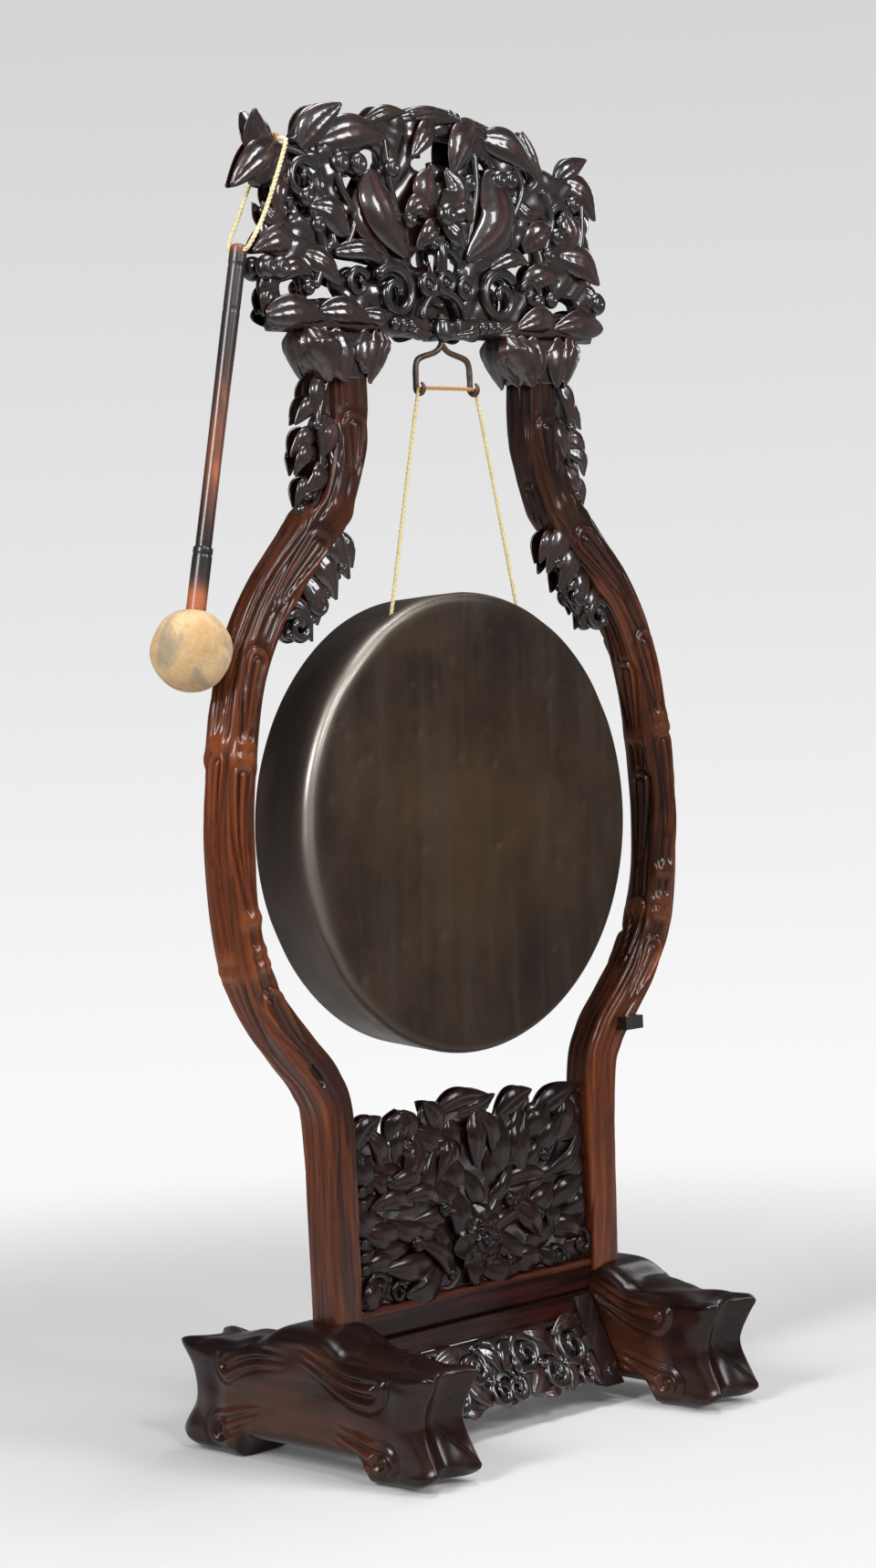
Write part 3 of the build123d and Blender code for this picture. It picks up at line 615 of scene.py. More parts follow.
# %% [markdown]
# Beaten metal is never quite flat. The gong is a shallow dish with a rolled shoulder, turned as
# a closed shell, and a sum of round dents with soft edges is pressed into it. The same dents
# move the outer and inner skins, so the wall keeps its thickness.

# %% Gong
gong_radius, gong_front, gong_back, gong_wall = 305.0, -39.35, 65.65, 3.0
gong_height, shoulder, rim_taper = 808.0, 15.0, 7.0
draw = np.random.default_rng(7)
dent_place = draw.uniform(-285, 285, (170, 2))
dent_size = np.concatenate([draw.uniform(20, 46, 90), draw.uniform(5, 9, 80)])
dent_depth = np.concatenate([draw.normal(0, 1.0, 90), draw.normal(0.9, 0.5, 80)])
rim_dents = draw.uniform(0, 2 * np.pi, 26)
rim_dent_at = draw.uniform(gong_front, gong_back, 26)


def gong_outline(inset):
    """The profile from the middle of the face, round the shoulder and back along the rim: (radius, depth)."""
    face_r = np.linspace(0.5, gong_radius - shoulder, 74)
    face = np.stack([face_r, np.full(face_r.shape, gong_front + inset)], -1)
    turn = np.linspace(0, np.pi / 2, 12)[1:]
    middle_r, middle_depth, bend_radius = gong_radius - shoulder, gong_front + shoulder, shoulder - inset
    bend = np.stack([middle_r + bend_radius * np.sin(turn), middle_depth - bend_radius * np.cos(turn)], -1)
    rim_depth = np.linspace(middle_depth, gong_back, 26)[1:]
    lean = (rim_depth - middle_depth) / (gong_back - middle_depth) * rim_taper
    return np.concatenate([face, bend, np.stack([gong_radius - inset - lean, rim_depth], -1)])


def gong_rings():
    """Outer and inner outlines joined at the lip, swung round, with the dents pushed along the depth."""
    profile = np.concatenate([gong_outline(0.0), gong_outline(gong_wall)[::-1]])
    turn = np.linspace(0, 2 * np.pi, 360, endpoint=False)[None]
    r, depth = profile[:, :1], np.repeat(profile[:, 1:], turn.size, 1)
    x, z = r * np.cos(turn), r * np.sin(turn)
    push = np.zeros_like(x)
    for (cx, cz), size, deep in zip(dent_place, dent_size, dent_depth):
        push += deep * np.exp(-((x - cx) ** 2 + (z - cz) ** 2) / size**2)
    waves = 1.1 * np.sin(x / 47 + 1.0) * np.sin(z / 61) + 0.7 * np.sin(x / 23 + z / 31)
    flat = np.clip((gong_radius - 4 - r) / 12, 0, 1)
    depth = depth + (np.clip(push, -2.2, 2.2) + waves * 0.5) * flat + 2.0 * flat
    swell = np.zeros_like(x)
    for angle, at in zip(rim_dents, rim_dent_at):
        across = np.angle(np.exp(1j * (turn - angle))) * gong_radius
        swell += np.exp(-(across**2 + (depth - at) ** 2 * 1.5) / 22**2)
    pull = 1 - (1.1 * np.clip(swell, 0, 1.5) + 0.5 * np.sin(5 * turn + 1) + 0.5) / gong_radius * (1 - flat)
    edge = np.exp(-((np.hypot(r - gong_radius + 6, (depth - gong_front - 5)) / 9) ** 2))
    # A painted highlight: the shoulder is given a light colour, strongest at its upper left where the lamps
    # catch it, and fading out towards the bottom.
    painted_highlight_arc = np.exp(-((np.angle(np.exp(1j * (turn - 2.6))) / 0.8) ** 2))
    return np.stack([x * pull, depth, z * pull + gong_height], -1), edge * painted_highlight_arc * np.ones_like(x)


# edge is the shoulder's painted highlight, carried as each point's wear value.
rings, edge = gong_rings()
piece("beaten_gong", [skin(rings, edge)], "gong", "gong_bronze", ["gong"])

# %% [markdown]
# The hanger is one iron rod bent to a wide loop, with a swivel shank through the crest. Both
# ends turn up into open hooks and are drawn out thin. A rod that follows a smooth line does it.

# %% Hanger
hook_y, shank_y, hook_x, hook_z, bowl_radius, wire_radius = -17.05, -10.0, 51.0, 1380.0, 7.05, 4.0
arm_places = [(0, 1440), (3, 1435), (14, 1427.5), (42, 1419.5), (49.5, 1411), (51, 1395), (51, 1386)]


def hanger_arm(side):
    """One arm: from the fork down, out and down again, then round the hook's bowl to its thin tip."""
    bowl = np.linspace(np.pi, np.pi * 2.35, 16)
    hook_depth, hook_height = hook_y - bowl_radius * np.cos(bowl), hook_z + bowl_radius * np.sin(bowl)
    hook = np.stack([np.full(16, side * hook_x), hook_depth, hook_height], -1)
    arm = smooth_path([(side * x, shank_y, z) for x, z in arm_places], 60)
    line = along(np.concatenate([arm, hook]), 1.6)
    t = np.linspace(0, 1, len(line))
    thinning = 2.3 * np.clip((t - 0.86) / 0.14, 0, 1)
    return rod(line, wire_radius - thinning + 0.12 * np.sin(line[:, 2] / 3.0), 14)


shank_height = np.linspace(1436, 1470, 24)
shank_line = np.stack([0 * shank_height, 0 * shank_height + shank_y, shank_height], -1)
shank = rod(shank_line, wire_radius, 14)
piece("swivel_hanger", [hanger_arm(-1), hanger_arm(1), shank], "hanger", "hanger_iron", ["hanger"])
washer_profile = [
    (0.3, 1470.3), (4.2, 1470.3), (10.6, 1470.3), (11.0, 1470.8), (11.0, 1472.7), (10.4, 1473.3),
    (6.2, 1473.3), (6.0, 1476.2), (5.0, 1477.8), (2.6, 1478.3), (0.3, 1478.3),
]


def hammered(r, h, a):
    """The washer's slight unroundness: a wave of three round the edge that drifts with height."""
    return 0.15 * np.sin(3 * a + h) * (r > 1)


washer = turned(washer_profile, (0, shank_y, 0), around=40, ripple=hammered)
piece("hanger_rivet_washer", [washer], "hanger", "hanger_iron", ["hanger_washer"])

# %% [markdown]
# The mallet hangs from its loop and rests against the post, so its handle leans. Every part of
# it is turned about that one leaning line: the handle, the sleeve at its foot and the ball.

# %% Mallet
mallet_top, ball_centre = np.array([-346.0, 0.0, 1554.0]), np.array([-442.8, 12.0, 1050.7])
mallet_axis = unit(ball_centre - mallet_top)
mallet_length = np.linalg.norm(ball_centre - mallet_top)
ball_radius = 52.0


def on_axis(made, start):
    """A turned skin laid on the handle's leaning line: its heights run down the line from start."""
    p, *rest = made
    side = unit(np.cross((0.0, 1.0, 0.0), mallet_axis))
    face = np.cross(mallet_axis, side)
    return start + p[:, :1] * side + p[:, 1:2] * face + p[:, 2:] * mallet_axis, *rest


def with_wear(made, wear):
    """The same skin with the given wear on its points."""
    return *made[:3], wear, None


foot_of_handle = mallet_length - ball_radius + 6
handle_radius, handle_end_radius, collar_length = 10.5, 10.0, 88
patch_at, patch_half_length = 262, 62
towards_viewer = np.array((-0.66, -0.75, 0.0))
down = np.concatenate([np.linspace(0.2, 26, 18), np.linspace(30, foot_of_handle, 180)])
rounded_top = 11.0 * np.sqrt(np.clip(1 - ((5 - np.minimum(down, 5)) / 5.6) ** 2, 0.02, 1))
belly = np.where(down < 26, rounded_top, handle_radius + 0.4 * np.sin(down / 70.0))
belly = belly - 1.3 * np.exp(-(((down - 27.5) / 1.3) ** 2)) - 0.6 * np.exp(-(((down - 84) / 1.0) ** 2))
belly = np.where(down > foot_of_handle - collar_length, handle_end_radius, belly)


def hand_turned(r, h, a):
    """The handle is a little oval, and the oval turns slowly on the way down."""
    return 0.18 * np.sin(2 * a + h / 60)


handle_profile = np.stack([belly, down], -1)
handle_skin = on_axis(turned(handle_profile, (0, 0, 0), "z", 40, hand_turned), mallet_top)
height_down = (handle_skin[0] - mallet_top) @ mallet_axis
from_axis = handle_skin[0] - mallet_top - height_down[:, None] * mallet_axis
facing = from_axis @ towards_viewer / handle_radius
rub = np.exp(-(((height_down - patch_at) / patch_half_length) ** 2))
rub = rub * np.clip((facing - 0.35) * 2.6, 0, 1) * 1.3
rub += 0.45 * np.exp(-((height_down / 9) ** 2))
handle_skin = with_wear(handle_skin, np.clip(rub, 0, 1))
piece("mallet_handle_turned", [handle_skin], "mallet", "handle_lacquer", ["mallet_handle"])

sleeve_radius, sleeve_length = 12.5, 78
sleeve_start = mallet_length - ball_radius - sleeve_length
sleeve_down = np.linspace(sleeve_start, foot_of_handle + 1, 60)
sleeve_belly = sleeve_radius - 0.9 * np.exp(-(((sleeve_down - sleeve_start - 10) / 1.2) ** 2))
sleeve_belly[0], sleeve_belly[1] = 11.2, 12.2
sleeve_radii = np.concatenate([[0.5], sleeve_belly, [0.5]])
sleeve_heights = np.concatenate([[sleeve_start], sleeve_down, [foot_of_handle + 1.2]])
sleeve_profile = np.stack([sleeve_radii, sleeve_heights], -1)
sleeve_skin = on_axis(turned(sleeve_profile, (0, 0, 0), "z", 40), mallet_top)
from_foot = (sleeve_skin[0] - mallet_top) @ mallet_axis - foot_of_handle
sleeve_skin = with_wear(sleeve_skin, 0.75 * np.exp(-(((from_foot + 16) / 18) ** 2)))
piece("mallet_sleeve_turned", [sleeve_skin], "mallet", "handle_lacquer", ["mallet_sleeve"])


def ball_ripple(r, h, a):
    """Leather drawn over a round core: low lumps, pleats that fade away from the neck, and one seam."""
    lumps = 0.9 * np.sin(3 * a + h / 17) * np.sin(h / 21) + 0.6 * np.sin(5 * a - h / 11)
    near_neck = np.exp(-((h + ball_radius) / 16))
    pleats = 1.4 * near_neck * np.abs(np.sin(11 * a))
    seam = -1.5 * np.exp(-((np.sin(a - 0.4 + 0.1 * np.sin(h / 12)) * r / 1.6) ** 2)) * (np.cos(a - 0.4) > 0)
    return (lumps - pleats + seam) * np.clip(r / 20, 0, 1) - 1.2 * (r > 3)


polar = np.linspace(0.03, np.pi - 0.03, 110)
ball_profile = np.stack([ball_radius * np.sin(polar), -ball_radius * np.cos(polar)], -1)
ball_skin = on_axis(turned(ball_profile, (0, 0, 0), "z", 220, ball_ripple), ball_centre)
ball = piece("leather_ball", [ball_skin], "mallet", "ball_leather", ["mallet_cover"])
print("mallet leans", math.degrees(math.asin(-mallet_axis[0])), "degrees")

# %% [markdown]
# The posts are sawn to a long S and carved to look like an old trunk: long flutes run with the
# curve, with drop-shaped knots and pairs of knuckles between them. Each post is one skin that
# follows the S. A field of ridges and grooves, drawn on the unrolled surface, moves its points.

# %% Post carving
post_stations = np.array([
    (248.5, 158, 55), (248.5, 220, 55), (252, 430, 58), (272, 494, 58), (312, 540, 57), (350, 584, 56),
    (382, 640, 54), (398, 710, 52), (403, 790, 52), (400, 850, 52), (391, 930, 53), (377, 1000, 54),
    (352, 1062, 56), (314, 1121, 58), (262, 1176, 60), (214, 1228, 60), (188, 1290, 58), (180, 1355, 56),
    (184, 1447, 58),
], float)
post_half_depth = 29.0
outer_side, back_face, inner_side, front_face = 0.0, 0.25, 0.5, 0.75
post_girth, post_low, post_high = 200.0, 158.0, 1447.0
mortise_share, mortise_height = 0.79, 512
# Drop-shaped knots: share of the way round, height of the head, height of the tail, half width.
post_knots = [
    (front_face, 1033, 935, 13), (front_face, 893, 745, 12), (front_face, 604, 530, 14),
    (front_face, 1180, 1085, 13), (front_face, 1330, 1262, 12), (outer_side, 1180, 960, 14),
    (outer_side, 905, 770, 13), (outer_side, 640, 545, 12), (inner_side, 1000, 900, 12),
    (inner_side, 840, 700, 12), (inner_side, 655, 560, 13), (inner_side, 1250, 1150, 12),
    (back_face, 1040, 925, 13), (back_face, 880, 750, 12), (back_face, 610, 530, 14),
    (back_face, 1300, 1200, 12),
]
# Knuckles: share of the way round, height, how far it stands out, half length and half width.
post_knuckles = [
    (front_face, 652, 5.0, 9, 17), (front_face, 671, 4.0, 8, 16), (front_face, 912, 5.0, 11, 18),
    (front_face, 713, 4.5, 10, 17), (front_face, 930, 3.5, 8, 16), (outer_side, 930, 5.0, 12, 20),
    (outer_side, 652, 5.0, 10, 20), (outer_side, 671, 4.0, 8, 18), (outer_side, 1196, 5.0, 14, 24),
    (inner_side, 1128, 5.0, 16, 22), (inner_side, 1310, 5.5, 22, 24), (inner_side, 655, 5.0, 12, 22),
    (inner_side, 905, 4.5, 12, 20), (inner_side, 1212, 5.5, 18, 24), (back_face, 912, 5.0, 11, 18),
    (back_face, 652, 5.0, 9, 17), (back_face, 671, 4.0, 8, 16), (outer_side, 1310, 4.5, 18, 22),
    (front_face, 1224, 5.0, 13, 20), (back_face, 1224, 5.0, 13, 20),
]
# Long deep grooves that run on below a knuckle: share of the way round, top, bottom and half width.
post_gouges = [
    (front_face + 0.01, 645, 545, 3.4), (outer_side + 0.03, 640, 480, 3.0),
    (front_face - 0.05, 905, 790, 3.0), (outer_side - 0.04, 915, 760, 3.2), (back_face, 645, 545, 3.4),
    (inner_side, 640, 560, 3.0),
]


# Flutes: the share of the way round that each groove drifts about.
post_flutes = (
    0.035, 0.105, 0.165, 0.235, 0.31, 0.40, 0.46, 0.545, 0.61, 0.665, 0.715, 0.79, 0.85, 0.93, 0.975,
)


def across_girth(turned_share):
    """A difference in the share of the way round a post, as millimetres across its unrolled surface."""
    return np.angle(np.exp(2j * np.pi * turned_share)) / (2 * np.pi) * post_girth


def oblong(power, count):
    """A superellipse outline, |x|^power + |z|^power = 1, with its points an even distance apart."""
    fine = np.linspace(0, 2 * np.pi, 8001)
    x, z = squared(fine, 2 / power)
    run = np.concatenate([[0], np.cumsum(np.hypot(np.diff(x), np.diff(z) * 1.25))])
    at = np.linspace(0, run[-1], count, endpoint=False)
    return np.interp(at, run, x)[None], np.interp(at, run, z)[None]


def drop_relief(around, height, share, head, tail, half):
    """A drop: q is 0 on its spine and 1 on its edge. A lip stands on the edge, with a trough and an
    island inside it. The second result is how far the drop takes the place of what lies there."""
    along_drop = (head - height) / (head - tail)
    width = half * np.clip(1 - along_drop, 0, 1) ** 0.6 + 0.5
    across = across_girth(around - share)
    above = np.where(along_drop < 0, (height - head) / half, 0.0)
    q = np.hypot(across / width, above)
    inside = (along_drop < 1.02) & (along_drop > -1.5)
    lip = 3.4 * np.exp(-(((q - 1.0) / 0.28) ** 2))
    trough = -3.2 * np.exp(-(((q - 0.62) / 0.2) ** 2))
    island = 2.4 * np.exp(-((q / 0.34) ** 2))
    moat = -2.6 * np.exp(-(((q - 1.5) / 0.3) ** 2))
    fade = np.clip((1.0 - along_drop) * 5, 0, 1) * np.clip((along_drop + 1.2) * 4, 0, 1)
    fade = fade * np.clip(2.4 - q, 0, 1)
    return np.where(inside, lip + trough + island + moat, 0.0) * fade, np.where(inside, fade, 0.0)


def post_skin(side, rings_count=430, around_count=110):
    """Centre line, width and depth are interpolated by running length; a rounded oblong section is
    swept at right angles to the centre line and pushed out by flutes, knots and knuckles."""
    stations = smooth_path(post_stations, 700)
    run = np.concatenate([[0], np.cumsum(np.hypot(*np.diff(stations[:, :2], axis=0).T))])
    at = np.linspace(0, run[-1], rings_count)
    x, z, width = (np.interp(at, run, stations[:, k]) for k in range(3))
    tangent = unit(np.stack([np.gradient(x), np.gradient(z)], -1))
    blend_end = np.clip(np.minimum(z - post_low, post_high - z) / 40, 0, 1)
    tangent = unit(np.stack([tangent[:, 0] * blend_end, tangent[:, 1]], -1))
    out = np.stack([tangent[:, 1], -tangent[:, 0]], -1)
    share = np.linspace(0, 1, around_count, endpoint=False)[None]
    angle = 2 * np.pi * share
    flat_x, flat_y = oblong(5.0, around_count)
    height, around = np.broadcast_arrays(z[:, None], share)
    flow = 0.018 * np.sin(height / 95.0 + 6 * around) + 0.010 * np.sin(height / 41.0)
    relief = np.zeros_like(height)
    for k, base in enumerate(post_flutes):
        across = across_girth(around - base - flow * (1 + 0.5 * (k % 3)))
        deep = np.clip(1.9 + 1.4 * np.sin(height / (70 + 9 * k) + 2.1 * k), 0.0, 3.2)
        relief -= deep * np.exp(-((across / 2.4) ** 2))
        relief += 0.55 * deep * np.exp(-(((across - 6.0) / 3.2) ** 2))
    for knot_values in post_knots:
        drop, cover = drop_relief(around - flow, height, *knot_values)
        relief = relief * (1 - np.clip(cover, 0, 1)) + drop
    for share_of, centre, proud, half, wide in post_knuckles:
        across = across_girth(around - flow - share_of)
        bump = np.exp(-(((height - centre) / half) ** 2) - (across / wide) ** 4)
        relief = relief * (1 - bump) + proud * bump
    for share_of, top, bottom, half in post_gouges:
        across = across_girth(around - flow - share_of)
        t = np.clip((top - height) / (top - bottom), 0, 1)
        relief -= 4.5 * np.exp(-((across / half) ** 2)) * np.sin(np.pi * t) ** 0.6
    smooth_foot = np.clip((height - 165) / 60, 0, 1)
    calm = 0.55 + 0.45 * np.clip((height - 520) / 60, 0, 1)
    relief = np.clip(relief, -6.5, 5.5) * smooth_foot * calm * np.clip((post_high - height) / 20, 0, 1)
    if side < 0:
        # A small empty mortise, cut for a peg that is gone, low on the left post's front.
        across = across_girth(around - mortise_share)
        slot = np.exp(-(((height - mortise_height) / 14) ** 6) - ((across / 3.6) ** 6))
        relief = relief * (1 - slot) - 7.0 * slot
    half_width = width[:, None] / 2 - 2.0 + relief
    half_depth = post_half_depth - 2.0 + relief
    away = half_width * flat_x
    across = side * (x[:, None] + away * out[:, :1])
    rings = np.stack([across, half_depth * flat_y, z[:, None] + away * out[:, 1:]], -1)
    corner = np.minimum(np.abs(flat_x), np.abs(flat_y)) ** 3
    worn = np.clip(relief / 4.0 + 0.25, 0, 1) * 0.75 + 0.4 * corner
    grain = np.broadcast_arrays(20 * np.cos(angle), 20 * np.sin(angle) + 300 * side, at[:, None])
    return skin(rings, worn, grain=np.stack(grain, -1))


for side, word in ((1, "right"), (-1, "left")):
    piece(f"{word}_post_carved", [post_skin(side)], "stand", "red_wood", [f"{word}_post"])

# %% [markdown]
# Each foot is a heavy block with an arch under it, a hump round the post and four horns at each
# end: the corners run on while the faces between them are hollowed. A rounded oblong section
# grows along the block, and how near a point is to a corner decides how far it reaches out.

# %% Feet
foot_middle_x, foot_half_width, foot_half_length, foot_top, foot_hump = 272.5, 60.5, 233.0, 158.0, 184.0
foot_arch, foot_pad_start, foot_pad_end = 27.0, 98.0, 122.0
# Grooved drops on a foot's outer faces: head and tail as (along, height). Scrolls have a hand as well.
foot_drops = (((128, 128), (18, 152)), ((-134, 122), (-2, 150)))
foot_scrolls = (((150, 36), (64, 66), -1), ((-146, 32), (-58, 62), 1))
# The end faces sink inwards: rings that lie these shares of the way to the middle of the end.
foot_end_shares = np.array([0.05, 0.12, 0.18, 0.30, 0.44, 0.60, 0.76, 0.91])


def swirl(a, b, centre, radius, turns, hand, depth):
    """Grooves on a spiral: height goes with the cosine of the spiral's phase, fading outwards."""
    r, angle = np.hypot(a - centre[0], b - centre[1]), np.arctan2(b - centre[1], a - centre[0])
    phase = 2 * np.pi * (r / radius * turns) - hand * angle
    return depth * np.cos(phase) * np.clip((1.15 - r / radius) * 4, 0, 1)


def long_drop(a, b, head, tail, half, depth):
    """A drop lying from head to tail with nested grooves; q runs from its spine outwards."""
    head, tail = np.array(head, float), np.array(tail, float)
    way = tail - head
    length = np.linalg.norm(way)
    way = way / length
    t = ((a - head[0]) * way[0] + (b - head[1]) * way[1]) / length
    across = -(a - head[0]) * way[1] + (b - head[1]) * way[0]
    width = half * (1 - 0.45 * np.clip(t, 0, 1))
    q = np.where(t < 0, np.hypot(across, t * length) / half, np.abs(across) / width)
    fade = np.clip((1.7 - q) / 0.35, 0, 1) * np.clip((1.0 - t) * 2.0, 0, 1) ** 1.3
    return depth * (np.cos(q * 2 * np.pi * 1.05) * 0.85 + 0.15) * fade


def foot_skin(side, rings_count=250, around_count=230):
    """Sections along the foot's length; an oblong outline with hollow faces that grow towards the ends."""
    v = np.linspace(-1, 1, rings_count)[:, None]
    sx, sz = oblong(5.2, around_count)
    length = np.abs(v) * foot_half_length
    low = foot_arch * (1 - np.clip((length - foot_pad_start) / (foot_pad_end - foot_pad_start), 0, 1) ** 2)
    toe = np.clip((length - 196) / 37, 0, 1)
    low = low + 12 * toe**2
    high = foot_top - 5 * np.clip((length - 95) / 40, 0, 1) * (1 - toe) + 2 * toe
    high = high + (foot_hump - foot_top) * np.exp(-((length / 66) ** 4))
    reach_end = np.clip((length - 135) / 98, 0, 1) ** 1.4
    corner = np.clip(np.abs(sx) * np.abs(sz), 0, 1) ** 1.6
    hollow = (1 - corner / corner.max()) * 0.11 * np.clip((np.abs(v) - 0.45) / 0.55, 0, 1) ** 1.6
    end_y = foot_half_length * (1.0 - hollow)
    middle_height, half_height = (low + high) / 2, (high - low) / 2
    valley = np.exp(-(((length - 158) / 20) ** 2))
    waist = 1 - (0.24 * reach_end * (1 - np.abs(sz) ** 2.2) + 0.07 * valley) * np.clip(np.abs(sx), 0, 1)
    sag = 1 - 0.17 * reach_end * (1 - np.abs(sx) ** 2.2) * np.abs(sz)
    knob = 1 + 0.03 * np.exp(-(((length - 212) / 14) ** 2)) * corner
    rounded = 1 - 0.16 * np.clip((length - 212) / 21, 0, 1) ** 2.4
    x = (foot_half_width - 4.5) * sx * waist * knob * rounded
    z = middle_height + half_height * sz * sag * (1 - (1 - rounded) * 0.6 * (sz > 0))
    y = np.sign(v) * end_y * np.abs(v)
    on_side = np.clip((np.abs(sx) - 0.93) / 0.04, 0, 1) * np.clip((0.97 - np.abs(sz)) / 0.05, 0, 1)
    relief = np.zeros_like(x)
    for head, tail in foot_drops:
        drift = 6 * np.sin((y - head[0]) / 26.0)
        relief += long_drop(y, z + drift, head, tail, 19, 3.6)
    for eye, tail, hand in foot_scrolls:
        near = np.exp(-((np.hypot(y - eye[0], z - eye[1]) / 36) ** 6))
        relief = relief * (1 - near) + long_drop(y, z, eye, tail, 20, 3.4)
        hub = np.exp(-((np.hypot(y - eye[0], z - eye[1]) / 15) ** 6))
        relief = relief * (1 - hub) + swirl(y, z, eye, 15, 0.9, hand, 3.0)
    relief += 1.0 * np.sin(z / 9.0 + 2.0 * np.sin(y / 50.0))
    top = (sz > 0.9) * (np.abs(sx) < 0.97)
    lumps = 2.6 * np.sin(y / 15.0 + x / 17.0) + 1.8 * np.cos(x / 11.0) * np.sin(y / 24.0)
    lumps -= 3.0 * np.exp(-(((np.abs(x) - 42) / 6) ** 2)) * (length > 60)
    x = x + np.sign(sx) * (relief - 1.0) * on_side
    z = np.maximum(z + lumps * top * np.clip((length - 70) / 25, 0, 1) * (1 - reach_end), 0.0)
    rings = np.stack([side * (foot_middle_x + x), y, z], -1)
    worn = (np.clip(relief / 3.5, 0, 1) * 0.4 + 0.6) * on_side * np.clip((165 - length) / 30, 0.1, 1)
    worn = worn + 0.1 * corner
    ends = []
    for pick in (0, -1):
        ring = rings[pick]
        centre = np.array([side * foot_middle_x, np.sign(v[pick, 0]) * 186.0, 84.0])
        inwards = np.stack([ring * (1 - s) + centre * s for s in foot_end_shares])
        pull = np.sin(foot_end_shares[:, None] * np.pi / 2) ** 1.2
        inwards[..., 1] = ring[None, :, 1] + (centre[1] - ring[None, :, 1]) * pull
        ends.append(inwards)
    rings = np.concatenate([ends[0][::-1], rings, ends[1]])
    end_worn = np.full((len(foot_end_shares), around_count), 0.05)
    return skin(rings, np.concatenate([end_worn, worn, end_worn]))


for side, word in ((1, "right"), (-1, "left")):
    piece(f"{word}_foot_carved", [foot_skin(side)], "stand", "dark_wood", [f"{word}_foot"], "foot_wood")

# %% Materials on the plain timber parts that stay as they are
slot_of = {part["node"]: part["material_slot"] for part in frame["record"]["subparts"]}
for name, node in frame["nodes"].items():
    node.data.materials.clear()
    node.data.materials.append(finishes[slot_of[name]])
print("carried over", [n for n, o in frame["nodes"].items() if not o.hide_render])

# %% [markdown]
# Carved foliage is built from four shapes: a leaf with a groove down its middle and fine side
# veins, a stem, a fruit with a dimple, and a scroll that winds into an eye. They stand on a
# pierced ground, a thin board cut to the outline with holes where light comes through.
# Places are given as (across, height, depth) in the board's own plane.


# %% Leaf, stem, fruit and scroll
def in_room(spine):
    """Points given as (across, height, depth), put in the order of the room's axes."""
    return [(across, depth, height) for across, height, depth in spine]


def handed(spine, side):
    """The same points for the right side (1), or turned over for the left (-1)."""
    return [(side * across, height, depth) for across, height, depth in spine]


def leaf(spine, width, cup=-0.28, thick=3.0, lean=(0.0, -1.0, 0.0), veins=7.0, n=26, m=36, widest=0.8):
    """Across u in -1..1 the blade is offset sideways by u times half the width, and along the face
    normal by a rounded thickness, a cup that goes with u squared, a groove on the midrib and slanting
    side veins. It has n rings of m points."""
    line = smooth_path(in_room(spine), n)
    side, normal = frames(line, lean)
    t = np.linspace(0, 1, n)[:, None]
    turn = np.linspace(0, 2 * np.pi, m, endpoint=False)[None]
    u, up = np.cos(turn), np.sin(turn)
    half = width / 2 * (np.sin(np.pi * (0.03 + 0.95 * t) ** widest) ** 0.8 + 0.02)
    body = thick * (0.35 + 0.65 * np.sin(np.pi * np.clip(t, 0.04, 0.96)))
    top = np.clip(up, 0, 1)
    groove = 2.6 * np.exp(-((u / 0.16) ** 2)) * np.sin(np.pi * t) ** 0.5
    ribs = 1.0 * (0.5 + 0.5 * np.cos(2 * np.pi * (veins * t - 1.6 * np.abs(u)))) ** 3 * (np.abs(u) > 0.12)
    away = body * np.sign(up) * np.abs(up) ** 0.8 + cup * half * u**2 - top * (groove + ribs * (1 - u**2))
    rings = line[:, None] + (u * half)[..., None] * side[:, None] + away[..., None] * normal[:, None]
    # The light line down the midrib (the bell in u) is a painted highlight. The rubbed edges are wear, the
    # face side is a little lighter all over, and the vein grooves get a little less.
    worn = 0.6 * np.abs(u) ** 6 + 0.5 * np.exp(-((u / 0.2) ** 2)) * top + 0.15 * top - 0.1 * ribs + 0 * t
    return skin(rings, np.clip(worn, 0, 1))


def stem(points, r0, r1):
    """A round bar along a smooth line in the board's plane, thinning from r0 to r1."""
    line = along(smooth_path(in_room(points), 60), 3.0)
    return rod(line, np.linspace(r0, r1, len(line)), 10)


def fruit(centre, radius, squash=0.8):
    """A ball with a dimple: the radius falls by a narrow bell about the pole that faces outwards."""
    polar = np.linspace(0.03, np.pi - 0.03, 18)
    r = radius * (1 - 0.28 * np.exp(-((polar / 0.3) ** 2)))
    profile = np.stack([r * np.sin(polar), -squash * r * np.cos(polar)], -1)
    return turned(profile, *in_room([centre]), "y", 20)


def scroll(eye, radius, start, turns, bar, hand, depth, rise=-6.0):
    """A bar on a spiral: the distance from the eye shrinks as it winds in, while it rises towards the eye."""
    t = np.linspace(0, 1, int(60 * turns))
    r = radius * (1 - t) ** 0.8 + bar * 0.5 * t
    angle = start + hand * 2 * np.pi * turns * t
    line = np.stack([eye[0] + r * np.cos(angle), depth + rise * t, eye[1] + r * np.sin(angle)], -1)
    return rod(line, bar * (1.0 - 0.35 * t), 12)


def handed_scroll(side, eye, radius, start, turns, bar, hand, depth, rise):
    """A scroll for the right side (1), or its mirror image for the left (-1)."""
    first = start if side > 0 else math.pi - start
    return scroll((side * eye[0], eye[1]), radius, first, turns, bar, hand * side, depth, rise)


def ring(eye, radius, bar, depth):
    """A closed hoop with a round bar."""
    turn = np.linspace(0, 2 * np.pi, 36, endpoint=False)[:, None]
    around = np.linspace(0, 2 * np.pi, 12, endpoint=False)[None]
    r = radius + bar * np.cos(around)
    rings = [eye[0] + r * np.cos(turn), depth + bar * np.sin(around) + 0 * turn, eye[1] + r * np.sin(turn)]
    return skin(np.stack(rings, -1), closed_ends=False)


def shifted(made, change):
    """The same skin with its points moved by a function of the points; faces turn over if it mirrors."""
    points, quads, fans, worn, grain = made
    moved = change(points.copy())
    return moved, *faced_outward(moved, quads, fans), worn, grain


